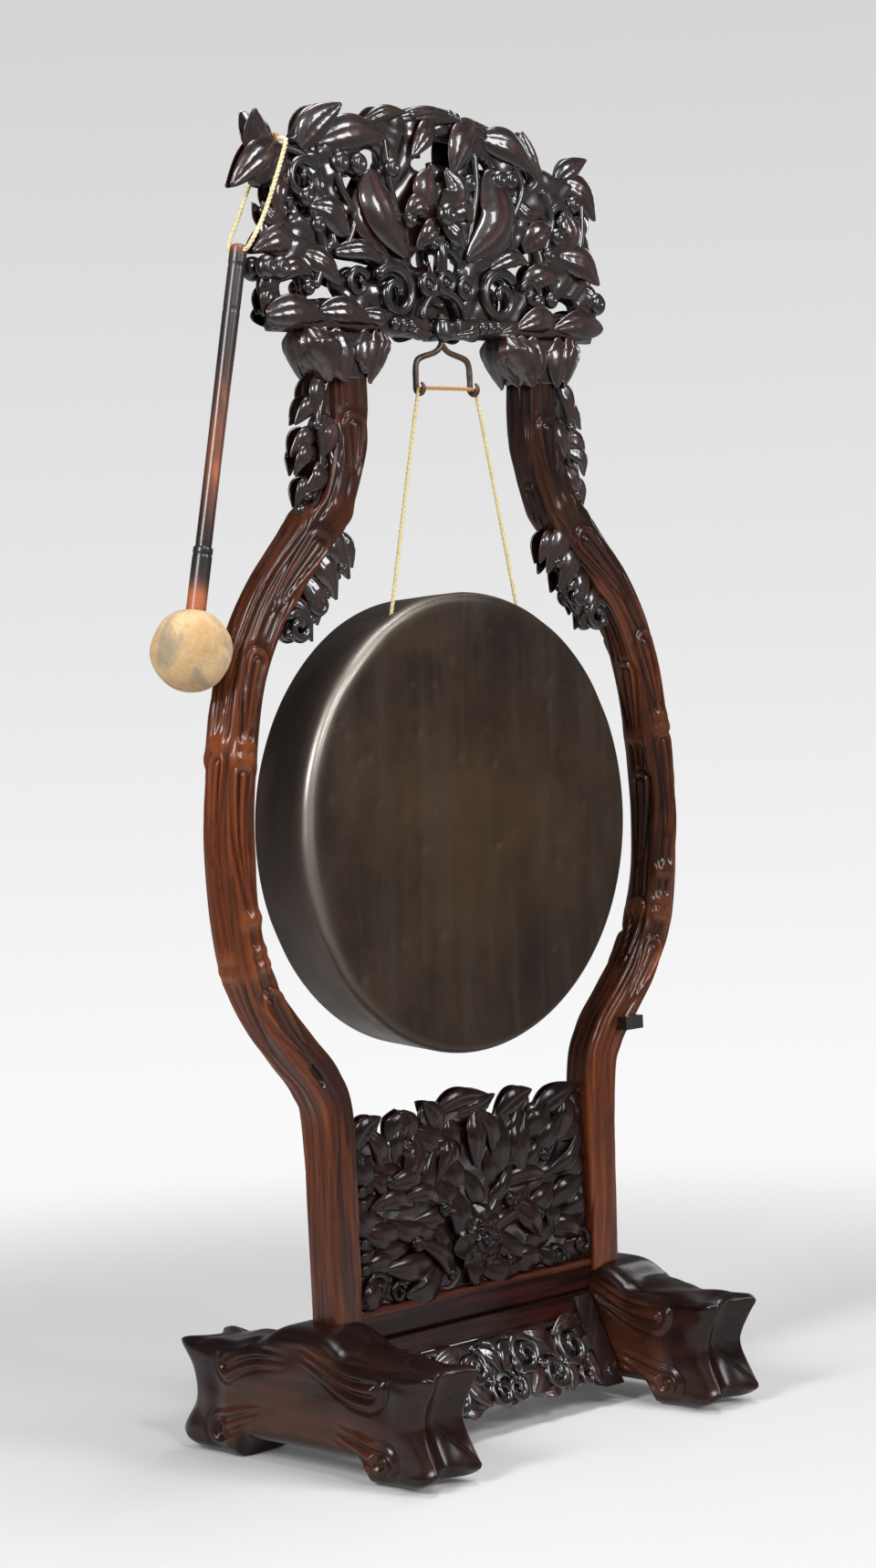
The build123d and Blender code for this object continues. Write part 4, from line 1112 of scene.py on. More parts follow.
def mirrored(made_list, middle):
    """Each skin reflected from front to back, in the plane at this depth."""

    def flip(p):
        """The points with their depth measured from the other side of the plane."""
        p[:, 1] = 2 * middle - p[:, 1]
        return p

    return [shifted(one, flip) for one in made_list]


# %% Pierced ground
def inside_ovals(x, z, ovals):
    """How far a point is inside the nearest oval, as a rough distance: 1 - q times the small half axis."""
    found = np.full(x.shape, -1e3)
    for cx, cz, long, wide, turn in ovals:
        c, s = math.cos(math.radians(turn)), math.sin(math.radians(turn))
        a = ((x - cx) * c + (z - cz) * s) / (long / 2)
        b = (-(x - cx) * s + (z - cz) * c) / (wide / 2)
        found = np.maximum(found, (1 - np.hypot(a, b)) * min(long, wide) / 2)
    return found


def pierced_board(within, box, step, front, back, edge=7.0, waves=0.0):
    """Keeps the grid cells where within() is positive, pulls their border points on to its zero line,
    rounds the thickness near the border by a square root, and walls the border from front to back."""
    xs, zs = np.arange(box[0], box[1] + step, step), np.arange(box[2], box[3] + step, step)
    x, z = np.meshgrid(xs, zs, indexing="ij")
    f = within(x, z)
    keep = (f[:-1, :-1] > 0) & (f[1:, :-1] > 0) & (f[:-1, 1:] > 0) & (f[1:, 1:] > 0)
    gx, gz = np.gradient(f, step)
    size = np.maximum(np.hypot(gx, gz), 0.3)
    used = np.zeros(f.shape, int)
    for di in (0, 1):
        for dj in (0, 1):
            used[di : di + keep.shape[0], dj : dj + keep.shape[1]] += keep
    border = (used > 0) & (used < 4)
    pull = np.where(border, np.clip(f / size, 0, step * 0.9), 0.0)
    x, z = x - pull * gx / size, z - pull * gz / size
    round_edge = np.sqrt(np.clip(np.where(border, 0.0, f) / edge, 0.06, 1))
    middle, half = (front + back) / 2, (back - front) / 2
    pattern = waves * (np.sin(x / 9 + 2 * np.sin(z / 21)) * np.sin(z / 8 + 2 * np.sin(x / 17)))
    pattern = pattern * round_edge
    y_front, y_back = middle - half * round_edge + pattern, middle + half * round_edge - pattern
    index = np.arange(x.size).reshape(x.shape)
    quads = np.stack([index[:-1, :-1], index[1:, :-1], index[1:, 1:], index[:-1, 1:]], -1)[keep]
    count = x.size
    edges = np.concatenate([quads[:, [k, (k + 1) % 4]] for k in range(4)])
    code, reverse = edges[:, 0] * count + edges[:, 1], edges[:, 1] * count + edges[:, 0]
    rim = edges[~np.isin(code, reverse)]
    wall = np.stack([rim[:, 1], rim[:, 0], rim[:, 0] + count, rim[:, 1] + count], -1)
    faces = np.concatenate([quads, quads[:, ::-1] + count, wall])
    points = np.concatenate([np.stack([x, y, z], -1).reshape(-1, 3) for y in (y_front, y_back)])
    alive, fresh = np.unique(faces, return_inverse=True)
    worn = np.clip(0.3 * (-np.tile(pattern.ravel(), 2) / max(waves, 1e-3)), 0, 1) * (waves > 0)
    return points[alive], fresh.reshape(faces.shape), np.zeros((0, 3), int), worn[alive], None


print("carving shapes ready")

# %% [markdown]
# The crest is the showpiece: a fan of leaves, stems and fruit round a flower bud, over a bar with
# two large scrolls and an arch for the hanger's swivel. The same carving faces front and back.

# %% Crest
crest_foot = 1447.0
# Ovals: across and height of the middle, length, width, and turn in degrees.
crest_ovals = [
    (60, 153, 130, 190, 0), (60, 243, 190, 100, 0), (150, 218, 150, 106, -12), (160, 143, 150, 150, 0),
    (218, 193, 110, 80, -20), (250, 123, 120, 100, 10), (255, 208, 90, 34, -10), (280, 158, 60, 40, 18),
    (270, 63, 100, 76, -30), (100, 73, 190, 110, 0), (-60, 153, 130, 190, 0), (-60, 243, 190, 96, 0),
    (-150, 218, 150, 106, 12), (-160, 143, 150, 150, 0), (-218, 193, 100, 84, 10),
    (-250, 123, 120, 106, -10), (-290, 205, 80, 40, 30), (-270, 63, 100, 76, 30), (-100, 73, 190, 110, 0),
    (0, 25, 640, 52, 0), (0, 14, 610, 30, 0),
]
crest_gaps = [
    (-115, 225, 30, 24, 0), (-155, 188, 34, 26, 0), (20, 243, 62, 24, 0), (88, 223, 30, 22, 0),
    (125, 185, 30, 24, 0), (-160, 133, 30, 26, 30), (-150, 88, 72, 24, -8), (140, 83, 72, 24, 8),
    (175, 113, 26, 30, 0), (-265, 53, 26, 26, 0), (245, 43, 30, 22, 0), (-85, 53, 30, 30, 0),
    (112, 53, 30, 30, 0), (-25, 103, 30, 16, 20), (24, 98, 30, 16, -20), (-252, 190, 26, 22, 0),
    (-236, 168, 20, 26, 20), (175, 222, 24, 18, 0), (-20, 226, 26, 14, 0), (240, 165, 18, 26, 0),
    (-205, 128, 18, 24, 0), (205, 150, 18, 18, 0), (-272, 153, 20, 14, 0), (278, 100, 22, 16, 0),
]


gap_growth = 1.25


def crest_within(x, z):
    """How far inside the crest's board: its ovals and bottom bar, less the gaps and the swivel's recess."""
    found = inside_ovals(x, z - crest_foot, crest_ovals)
    gaps = [(a, b, gap_growth * wide, gap_growth * high, lean) for a, b, wide, high, lean in crest_gaps]
    found = np.minimum(found, -inside_ovals(x, z - crest_foot, gaps))
    bar = np.minimum(305 - np.abs(x), np.minimum(z - crest_foot, 1487 - z))
    recess = inside_ovals(x, z, [(0, 1473, 72, 58, 0)])
    found = np.minimum(np.maximum(found, bar), np.where(z > 1470, -recess, 1e3))
    return np.minimum(found, np.where(z < 1471, np.abs(x) - 11.0, 1e3))


# Leaves: points from root to tip as (across, height, depth), then the width.
crest_front_leaves = [
    ((-282, 1678, -2), (-308, 1690, -6), (-322, 1722, -12), 52),
    ((-268, 1674, -8), (-312, 1664, -11), (-359, 1625, -4), 46),
    ((-243, 1681, -8), (-215, 1712, -16), (-178, 1738, -20), 44),
    ((-214, 1688, -8), (-155, 1706, -20), (-95, 1702, -16), 46),
    ((-124, 1722, -8), (-92, 1735, -14), (-54, 1738, -12), 20),
    ((-62, 1730, -6), (-5, 1738, -12), (52, 1733, -10), 24),
    ((0, 1724, -10), (-22, 1710, -20), (-50, 1680, -18), 34),
    ((92, 1730, -6), (50, 1706, -20), (26, 1660, -16), 50),
    ((94, 1716, -8), (140, 1706, -19), (188, 1676, -14), 44),
    ((176, 1729, -4), (192, 1692, -10), (210, 1648, -8), 26),
    ((244, 1666, -2), (270, 1684, -8), (301, 1699, -8), 32),
    ((256, 1668, -4), (292, 1652, -12), (317, 1617, -6), 42),
    ((240, 1566, -8), (286, 1556, -16), (319, 1529, -8), 44),
    ((-8, 1602, -14), (-30, 1638, -26), (-14, 1668, -18), 46),
    ((8, 1602, -14), (30, 1638, -26), (12, 1668, -18), 46),
    ((-8, 1606, -16), (-42, 1618, -24), (-66, 1600, -16), 34),
    ((8, 1606, -16), (42, 1618, -24), (62, 1602, -16), 34),
    ((-4, 1600, -18), (-26, 1582, -25), (-46, 1562, -16), 30),
    ((4, 1600, -18), (26, 1582, -25), (44, 1564, -16), 30),
    ((-122, 1660, -10), (-110, 1604, -26), (-60, 1548, -14), 60),
    ((-138, 1636, -6), (-136, 1588, -14), (-88, 1548, -8), 32),
    ((112, 1676, -10), (106, 1604, -28), (50, 1550, -14), 66),
    ((134, 1630, -6), (122, 1580, -15), (66, 1548, -8), 32),
    ((-262, 1556, -8), (-292, 1563, -16), (-330, 1546, -8), 36),
    ((-162, 1574, -8), (-196, 1602, -18), (-232, 1608, -10), 42),
    ((168, 1570, -8), (196, 1592, -18), (226, 1600, -10), 40),
    ((-186, 1552, -6), (-140, 1556, -16), (-104, 1540, -10), 26),
    ((100, 1542, -8), (140, 1558, -16), (176, 1552, -8), 26),
    ((-246, 1550, -6), (-212, 1536, -16), (-180, 1508, -10), 36),
    ((166, 1520, -6), (196, 1536, -16), (236, 1530, -10), 34),
    ((-300, 1512, -6), (-262, 1530, -14), (-226, 1520, -8), 30),
    ((-270, 1600, -6), (-296, 1590, -12), (-312, 1608, -8), 26),
    ((252, 1628, -8), (262, 1596, -16), (250, 1564, -8), 36),
    ((-262, 1648, -6), (-284, 1622, -14), (-282, 1588, -8), 32),
    ((-205, 1662, -6), (-214, 1632, -14), (-196, 1612, -8), 26),
    ((150, 1640, -6), (176, 1618, -14), (206, 1620, -8), 26),
    ((-316, 1466, -14), (-268, 1474, -22), (-212, 1464, -16), 40),
    ((-222, 1474, -14), (-178, 1476, -22), (-130, 1462, -16), 36),
    ((-150, 1474, -14), (-120, 1470, -21), (-96, 1474, -16), 24),
    ((316, 1468, -14), (268, 1474, -22), (214, 1464, -16), 40),
    ((220, 1474, -14), (182, 1476, -22), (140, 1462, -16), 36),
    ((-62, 1470, -14), (-54, 1452, -20), (-22, 1450, -16), 20),
    ((62, 1470, -14), (54, 1452, -20), (22, 1450, -16), 20),
    ((150, 1466, -14), (128, 1456, -20), (104, 1454, -16), 20),
    ((286, 1524, -6), (300, 1510, -12), (306, 1480, -8), 28),
    ((-290, 1500, -6), (-308, 1490, -10), (-314, 1468, -6), 24),
]
# Fruit: across, height, depth and radius.
crest_front_fruit = [
    (-176, 1665, -10, 15), (-146, 1665, -12, 15), (-82, 1664, -10, 14), (118, 1660, -12, 14),
    (142, 1662, -10, 14), (-312, 1526, -12, 16), (-290, 1526, -12, 16), (310, 1502, -8, 16),
    (-56, 1598, -14, 12), (-36, 1572, -16, 8), (-16, 1568, -18, 8), (4, 1566, -18, 8), (24, 1569, -16, 8),
    (44, 1575, -14, 8), (0, 1606, -28, 16), (-95, 1462, -20, 8), (-80, 1461, -20, 8), (-65, 1460, -20, 8),
    (70, 1461, -20, 8), (85, 1461, -20, 8), (100, 1462, -20, 8), (30, 1740, -10, 7), (42, 1737, -10, 7),
    (52, 1731, -9, 7), (60, 1652, -12, 13), (-238, 1618, -10, 13), (-218, 1584, -10, 12),
    (232, 1590, -10, 13), (214, 1564, -10, 12), (-240, 1504, -10, 11), (216, 1504, -10, 12),
    (190, 1500, -10, 11), (270, 1636, -8, 12),
]
# Stems: points along the line, then the radius at its start and at its end.
crest_front_stems = [
    ((-292, 1672, 0), (-262, 1678, -2), (-232, 1668, -6), (-206, 1640, -6), 6.5, 5),
    ((204, 1664, -2), (232, 1667, -4), (262, 1668, -2), 5, 5),
    ((0, 1578, -12), (-2, 1556, -16), (0, 1532, -12), 8, 10),
    ((-206, 1640, -6), (-222, 1600, -6), (-206, 1552, -6), (-226, 1508, -8), 6, 8),
    ((210, 1650, -6), (226, 1610, -6), (208, 1560, -6), (226, 1508, -8), 6, 8),
    ((-178, 1690, -6), (-176, 1640, -8), (-150, 1600, -6), (-164, 1560, -6), 6, 6),
    ((150, 1690, -6), (166, 1650, -8), (144, 1600, -6), (150, 1556, -6), 6, 6),
    ((-92, 1700, -6), (-84, 1640, -8), (-60, 1570, -6), 6, 6),
    ((78, 1690, -6), (76, 1640, -8), (60, 1570, -6), 6, 6),
    ((-40, 1735, -6), (10, 1742, -8), (60, 1730, -6), (100, 1716, -6), 7, 6),
    ((-130, 1720, -4), (-96, 1728, -6), (-60, 1734, -4), 6, 6),
    ((-250, 1690, -2), (-226, 1722, -4), (-206, 1734, -4), 5, 5),
    ((-300, 1600, -4), (-270, 1570, -6), (-240, 1560, -6), 6, 6),
    ((290, 1640, -4), (284, 1590, -6), (270, 1556, -6), 6, 6),
]
# Scrolls: eye, radius, starting angle, turns, bar radius, hand and depth.
crest_front_scrolls = [
    ((-86, 1502), 36, 2.4, 1.35, 8.5, -1, -10), ((112, 1502), 36, 0.75, 1.35, 8.5, 1, -10),
    ((-240, 1640), 26, 1.0, 1.2, 7.0, 1, -6), ((246, 1612), 22, 2.6, 1.1, 6.5, -1, -6),
    ((-150, 1512), 20, 0.5, 1.1, 6.0, 1, -8), ((178, 1508), 20, 2.6, 1.1, 6.0, -1, -8),
]
crest_rings = ((-28, 1515), (5, 1519), (42, 1513))
front = [leaf(spine, width) for *spine, width in crest_front_leaves]
front += [fruit(centre, radius) for *centre, radius in crest_front_fruit]
front += [stem(points, r0, r1) for *points, r0, r1 in crest_front_stems]
front += [scroll(*row) for row in crest_front_scrolls]
front += [ring(eye, 12, 5.5, -17) for eye in crest_rings]
front += [fruit((x, z, -17), 7) for x, z in crest_rings]
arch = np.linspace(0.08, np.pi - 0.08, 40)
arch_line = np.stack([40 * np.cos(arch), np.full(40, -16.0), 1471 + 35 * np.sin(arch)], -1)
front += [rod(arch_line, 5.0, 12)]
piece("crest_carving_front", front, "stand", "dark_wood")
piece("crest_carving_back", mirrored(front, 1.0), "stand", "dark_wood")
ground = pierced_board(crest_within, (-330, 330, 1447, 1745), 2.75, -9.0, 11.0, 8.0, 2.2)


def bar_half(side):
    """Half of the crest's bottom rail: a rounded oblong from the arch to the end, with lobes below."""
    t = np.linspace(0, 1, 110)[:, None]
    x = side * (13.0 + 291.0 * t)
    turn = np.linspace(0, 2 * np.pi, 40, endpoint=False)[None]
    cx, sx = squared(turn, 0.5)
    fade = np.clip(np.minimum(t, 1 - t) * 18, 0.5, 1)
    y = -1 + cx * 15.5 * fade
    z = 1461.5 + sx * 13.0 * fade + 1.6 * np.sin(x / 11.0) * (sx < 0)
    return skin(np.stack([x + 0 * y, y, z], -1), np.full(y.shape, 0.15))


lug_profile = [(4.3, 1443.2), (10, 1443.2), (13.5, 1447), (14, 1452), (13, 1466), (11, 1469.8), (4.3, 1469.8)]
lug_r, lug_z = np.array(lug_profile).T[:, :, None]
turn = np.linspace(0, 2 * np.pi, 40, endpoint=False)[None]
lug_rings = [lug_r * np.cos(turn), shank_y + lug_r * np.sin(turn), lug_z + 0 * turn]
lug = skin(np.stack(lug_rings, -1), closed_ends=False)
lug_back_profile = [(0.3, 1444), (11, 1444), (12.5, 1448), (12.5, 1468), (0.3, 1469.5)]
lug_back = turned(lug_back_profile, (0, 9.5, 0), around=36)


def recess_within(x, z):
    """How far inside the board that closes the back of the swivel's recess."""
    return np.minimum(inside_ovals(x, z, [(0, 1473, 88, 74, 0)]), z - 1464.0)


recess_back = pierced_board(recess_within, (-46, 46, 1462, 1512), 2.0, 4.5, 12.0, 3.0)
rosette = []
for a in np.linspace(0.2, np.pi - 0.2, 5):
    ca, sa = math.cos(a), math.sin(a)
    spine = ((0, 1492, 3), (14 * ca, 1492 + 9 * sa, -1), (25 * ca, 1492 + 15 * sa, 3))
    rosette.append(leaf(spine, 13, n=14, m=16))
crest_solids = [ground, bar_half(-1), bar_half(1), lug, lug_back, recess_back, *rosette]
piece("crest_ground_and_bar", crest_solids, "stand", "dark_wood", ["crest"])

# %% [markdown]
# The panel between the posts is a thicket: a blossom in the middle and leaves over leaves to
# every side, above a plain border. The border and the ground are two boards. The leaves fan out
# from the blossom: each one's direction turns with its place.

# %% Lower panel
draw = np.random.default_rng(21)
blossom_x, blossom_z = 4, 252
panel_tips = [
    (-196, 414, 60, 44, 30), (-124, 408, 70, 60, 20), (-66, 420, 56, 44, -40), (-10, 424, 110, 36, 4),
    (84, 412, 80, 44, 20), (160, 402, 130, 50, 12),
]


def panel_within(x, z):
    """How far inside the panel's ground: a straight top, with ovals that rise above it."""
    top = np.maximum(inside_ovals(x, z, panel_tips), 405 - z)
    return np.minimum(np.minimum(top, 226.0 - np.abs(x)), z - 186.0)


panel_top_leaves = [
    ((-214, 396, -8), (-196, 422, -14), (-171, 437, -14), 36),
    ((-150, 396, -8), (-134, 420, -14), (-124, 440, -12), 46),
    ((-112, 398, -8), (-112, 420, -13), (-122, 438, -12), 30),
    ((-52, 404, -8), (-66, 426, -14), (-87, 445, -12), 34),
    ((-62, 428, -8), (-14, 442, -15), (46, 436, -10), 28),
    ((-30, 420, -8), (14, 428, -15), (46, 440, -12), 26),
    ((56, 408, -8), (88, 428, -14), (119, 437, -12), 34),
    ((128, 402, -8), (168, 420, -14), (220, 432, -8), 36),
    ((8, 424, -14), (4, 388, -22), (6, 346, -14), 36),
    ((-104, 406, -10), (-112, 370, -19), (-134, 326, -12), 38),
    ((-128, 400, -10), (-118, 384, -16), (-98, 330, -10), 26),
    ((92, 404, -10), (86, 366, -19), (98, 320, -12), 36),
    ((60, 404, -10), (52, 380, -18), (36, 348, -12), 30),
    ((-44, 400, -10), (-50, 372, -19), (-70, 338, -12), 30),
]
panel_front = [leaf(spine, width) for *spine, width in panel_top_leaves]
for row, z in enumerate(np.arange(208, 402, 27.0)):
    for x in np.arange(-204 + (row % 2) * 26, 212, 51.0):
        if np.hypot(x - blossom_x, (z - blossom_z) * 1.1) < 46 or (abs(x - blossom_x) < 22 and z > 340):
            continue
        out = math.atan2((z - 250) * 0.8, x - 4) + draw.normal(0, 0.5)
        long, wide, deep = draw.uniform(66, 92), draw.uniform(26, 42), draw.uniform(-22, -12)
        ax, az = math.cos(out), math.sin(out)
        bend = draw.uniform(-12, 12)
        tip_x = np.clip(x + ax * long / 2, -221, 221)
        tip_z = np.clip(z + az * long / 2, 196, 424)
        spine = (
            (x - ax * long / 2, max(z - az * long / 2, 198), deep + 9),
            (x - az * bend, z + ax * bend, deep),
            (tip_x, tip_z, deep + 7),
        )
        panel_front.append(leaf(spine, wide, n=20, m=20))
for k in range(9):
    rise = 17 * k
    spine = ((-222, 238 + rise, -12), (-208, 243 + rise, -18), (-186, 252 + rise, -12))
    panel_front.append(leaf(spine, 15, n=16, m=16))
# The blossom: rings of cupped petals, each with a count, reach, width, depth and starting angle.
petal_rings = ((8, 48, 34, -16, 0.2), (7, 33, 28, -21, 0.5), (5, 20, 20, -25, 0.1))
for count, reach_out, wide, deep, start in petal_rings:
    for k in range(count):
        a = start + 2 * np.pi * k / count
        spine = [
            (blossom_x + r * math.cos(a), blossom_z + r * math.sin(a), deep + lift)
            for r, lift in ((4, 3), (0.6 * reach_out, -3), (reach_out, 5))
        ]
        panel_front.append(leaf(spine, wide, cup=0.22, n=16, m=18, widest=1.25))
panel_front.append(fruit((blossom_x, blossom_z, -27), 9))
panel_scrolls = [
    ((-190, 216), 20, 0.4, 1.2, 5.5, 1, -12), ((204, 216), 20, 2.6, 1.2, 5.5, -1, -12),
    ((160, 204), 14, 2.6, 1.1, 4.5, -1, -12), ((-150, 204), 14, 0.4, 1.1, 4.5, 1, -12),
]
panel_fruit = [
    (-60, 300, 11), (-44, 292, 10), (66, 296, 11), (120, 268, 11), (-112, 262, 12), (136, 346, 10),
    (-160, 350, 10), (62, 214, 9), (-50, 212, 9),
]
panel_front += [scroll(*row) for row in panel_scrolls]
panel_front += [fruit((x, z, -14), r) for x, z, r in panel_fruit]
panel_rear = mirrored(panel_front, -3.0)
# The panel's carving takes the darker, shade-painted copy of the crest's hardwood.
piece("panel_carving_front", panel_front, "stand", "dark_wood", finish="shaded_panel_wood")
piece("panel_carving_back", panel_rear, "stand", "dark_wood", finish="shaded_panel_wood")


def panel_border():
    """A flat board with a bead along its top edge: an oblong section carried from post to post."""
    outline = np.array([
        (-14, 148.2), (-14, 178), (-16.5, 180), (-17.5, 184), (-16.5, 188), (-13, 190), (4, 190), (8, 188),
        (9, 184), (8, 180), (6, 178), (6, 148.2),
    ], float)
    fine = smooth_path(np.concatenate([outline, outline[:1]]), 60)[:-1]
    x = np.linspace(-225, 225, 60)[:, None]
    rings = np.stack(np.broadcast_arrays(x, fine[:, 0], fine[:, 1]), -1)
    return skin(rings, np.tile(np.clip((fine[:, 1] - 176) / 14, 0, 1), (60, 1)) * 0.8)


panel_board = pierced_board(panel_within, (-226, 226, 188, 446), 3.5, -9.0, 4.0, 6.0, 1.8)
piece("panel_ground_board", [panel_board], "stand", "dark_wood", ["lower_panel"])
piece("panel_border_board", [panel_border()], "stand", "rail_wood")

# %% [markdown]
# The apron leans out under the rail, between two flat stiles. It is open work: scrolls that wind
# both ways, with leaves where they meet. It is laid out upright and then sheared to its slope.

# %% Apron
apron_lean = math.tan(math.radians(26.0))
apron_top, apron_depth, apron_half_width = 121.0, -27.0, 177.0


def to_slope(p):
    """The upright layout sheared forwards: depth falls with the distance below the rail."""
    p[:, 1] += apron_depth - (apron_top - p[:, 2]) * apron_lean
    return p


apron_holes = [
    (-142, 88, 40, 34, 0), (-92, 66, 34, 30, 20), (-48, 92, 40, 28, 0), (0, 62, 30, 30, 0),
    (50, 92, 40, 30, 0), (94, 66, 34, 30, -20), (142, 88, 40, 34, 0), (-150, 52, 24, 18, 0),
    (150, 52, 24, 18, 0), (-22, 108, 20, 10, 0), (22, 108, 20, 10, 0), (-118, 110, 20, 10, 0),
    (116, 110, 20, 10, 0),
]
apron_body = [
    (0, 104, 372, 60, 0), (-130, 66, 80, 60, 0), (-60, 62, 70, 56, 0), (0, 58, 60, 54, 0),
    (62, 62, 70, 56, 0), (130, 66, 80, 60, 0),
]


def apron_within(x, z):
    """How far inside the apron's ground: its body's ovals less the holes, cut off at the sides and top."""
    found = np.minimum(inside_ovals(x, z, apron_body), -inside_ovals(x, z, apron_holes))
    return np.minimum(np.minimum(found, apron_half_width - np.abs(x)), apron_top - z)


# Scrolls: eye, radius, starting angle, turns, bar radius and hand, on the right half.
apron_scrolls = [
    ((142, 88), 26, 1.9, 1.3, 6.5, 1), ((94, 64), 22, 0.2, 1.3, 6.0, -1), ((50, 92), 24, 2.0, 1.3, 6.0, 1),
    ((14, 56), 17, 0.6, 1.2, 5.5, -1), ((150, 48), 15, 0.0, 1.1, 5.0, 1),
]
apron_leaves = [
    ((176, 112, -4), (146, 118, -9), (112, 106, -6), 22),
    ((112, 104, -4), (84, 112, -9), (62, 118, -6), 20), ((72, 84, -4), (60, 62, -9), (40, 42, -6), 24),
    ((118, 84, -4), (124, 56, -9), (112, 34, -6), 24), ((30, 110, -4), (12, 100, -9), (4, 78, -6), 22),
    ((172, 74, -4), (166, 54, -9), (170, 34, -6), 20), ((96, 48, -4), (78, 38, -8), (60, 40, -5), 16),
    ((34, 66, -4), (28, 84, -9), (34, 104, -5), 16),
]
apron_parts = [pierced_board(apron_within, (-178, 178, 30, 122), 2.75, -5.0, 6.0, 5.0, 1.2)]
for side in (-1, 1):
    apron_parts += [handed_scroll(side, *row, -4.0, -5.0) for row in apron_scrolls]
    apron_parts += [leaf(handed(spine, side), width, n=20, m=20) for *spine, width in apron_leaves]
    apron_parts += [fruit((side * x, z, -9), r) for x, z, r in ((72, 78, 7), (118, 70, 7), (32, 72, 6))]
apron_parts += mirrored(apron_parts[1:], 1.0)
piece("apron_openwork", [shifted(one, to_slope) for one in apron_parts], "stand", "dark_wood", ["apron"])

# %% [markdown]
# At the head of each post hang long pointed leaves, like a capital. Below them a spray of leaves
# and drops clings to the outside, and a pierced knot of scrolls and leaves fills the inner bend.

# %% Capitals, sprays and brackets
capital_middle, capital_low, capital_high = 183.5, 1389, 1447
# Rings of leaves: how many, starting angle, height of the tips, width, and how far they stand out.
capital_leaf_rings = ((9, 0.0, 1384, 52, 1.0), (9, np.pi / 9, 1396, 44, 0.99))


def capital(side):
    """A tapered core with two rings of hanging leaves, whose tips swing outwards."""
    turn = np.linspace(0, 2 * np.pi, 72, endpoint=False)[None]
    z = np.linspace(capital_low, capital_high, 14)[:, None]
    t = (z - capital_low) / (capital_high - capital_low)
    rx, ry = 34 + 34 * t**0.8, 28 + 3 * t
    cx, cy = squared(turn, 0.55)
    rings = np.stack([side * (capital_middle + rx * cx), ry * cy, z + 0 * turn], -1)
    made = [skin(rings, np.zeros(rings.shape[:2]))]
    for count, start, low, wide, out in capital_leaf_rings:
        for k in range(count):
            a = start + 2 * np.pi * k / count
            ca, sa = squared(a, 0.6)
            lean = (side * math.cos(a), math.sin(a), 0.1)
            spine = [
                (side * (capital_middle + across * out * ca), height, deep * sa)
                for across, height, deep in ((70, 1452, 29), (76, 1432, 34), (62, 1408, 35), (44, low, 31))
            ]
            made.append(leaf(spine, wide, cup=-0.32, thick=4.2, lean=lean, n=24, m=32, veins=5, widest=0.95))
    return made


def leaf_pairs(rows, side, n, m):
    """Each leaf twice: on the front, and on the back where its depth is -6 less the front one's."""
    made = []
    for *spine, width in rows:
        behind = [(x, z, -6 - y) for x, z, y in spine]
        made.append(leaf(handed(spine, side), width, n=n, m=m))
        made.append(leaf(handed(behind, side), width, lean=(0, 1, 0), n=n, m=m))
    return made


spray_stem = [(216, 1392, -14), (236, 1340, -16), (232, 1290, -16), (246, 1236, -12)]
spray_leaves = [
    ((214, 1392, -12), (236, 1372, -20), (240, 1340, -16), 30),
    ((230, 1360, -10), (250, 1352, -16), (270, 1330, -8), 26),
    ((222, 1344, -14), (218, 1318, -24), (232, 1288, -16), 32),
    ((236, 1318, -10), (258, 1312, -16), (278, 1290, -6), 28),
    ((240, 1300, -12), (262, 1290, -18), (274, 1266, -8), 24),
    ((226, 1286, -12), (240, 1262, -22), (262, 1244, -12), 30),
    ((214, 1300, -16), (206, 1276, -24), (216, 1250, -20), 26),
    ((244, 1262, -8), (262, 1250, -14), (272, 1226, -6), 22),
]
spray_drops = [
    (262, 1222, -6, 9), (256, 1240, -10, 8), (250, 1216, -4, 8), (266, 1302, -8, 9), (240, 1330, -18, 8),
]
bracket_scrolls = [((284, 1074), 21, 0.8, 1.15, 8, 1), ((246, 1104), 19, 2.6, 1.15, 7.5, -1)]
bracket_leaves = [
    ((240, 1194, -12), (214, 1176, -21), (188, 1134, -12), 42),
    ((252, 1172, -12), (232, 1146, -21), (212, 1108, -12), 40),
    ((270, 1140, -12), (252, 1114, -20), (248, 1076, -12), 34),
    ((300, 1108, -10), (276, 1092, -18), (256, 1056, -10), 32),
    ((208, 1192, -10), (190, 1174, -16), (178, 1148, -8), 28),
]
bracket_fruit = [(300, 1066, -12, 8), (262, 1084, -14, 8), (236, 1118, -14, 8), (206, 1148, -16, 8)]


def spray(side):
    """Leaves and hanging drops down the outside of the post, on one stem."""
    drops = [fruit((side * x, z, y), r) for x, z, y, r in spray_drops]
    return [stem(handed(spray_stem, side), 5, 4), *leaf_pairs(spray_leaves, side, 20, 20), *drops]


def bracket(side):
    """Scrolls and leaves on a thin ground in the bend where the post swings out."""
    ground_ovals = [(side * 262, 1092, 84, 40, -38 * side), (side * 212, 1158, 70, 32, -52 * side)]
    holes = [(side * 252, 1106, 18, 12, 0), (side * 282, 1078, 14, 10, 0)]

    def within(x, z):
        """How far inside the bracket's ground: two ovals less two holes."""
        return np.minimum(inside_ovals(x, z, ground_ovals), -inside_ovals(x, z, holes))

    low, high = sorted((side * 170, side * 320))
    made = [pierced_board(within, (low, high, 1050, 1210), 2.5, -9.0, 4.0, 5.0, 1.2)]
    for row in bracket_scrolls:
        made += [handed_scroll(side, *row, depth, rise) for depth, rise in ((-12, -5), (6, 5))]
    made += leaf_pairs(bracket_leaves, side, 22, 28)
    return made + [fruit((side * x, z, y), r) for x, z, y, r in bracket_fruit]


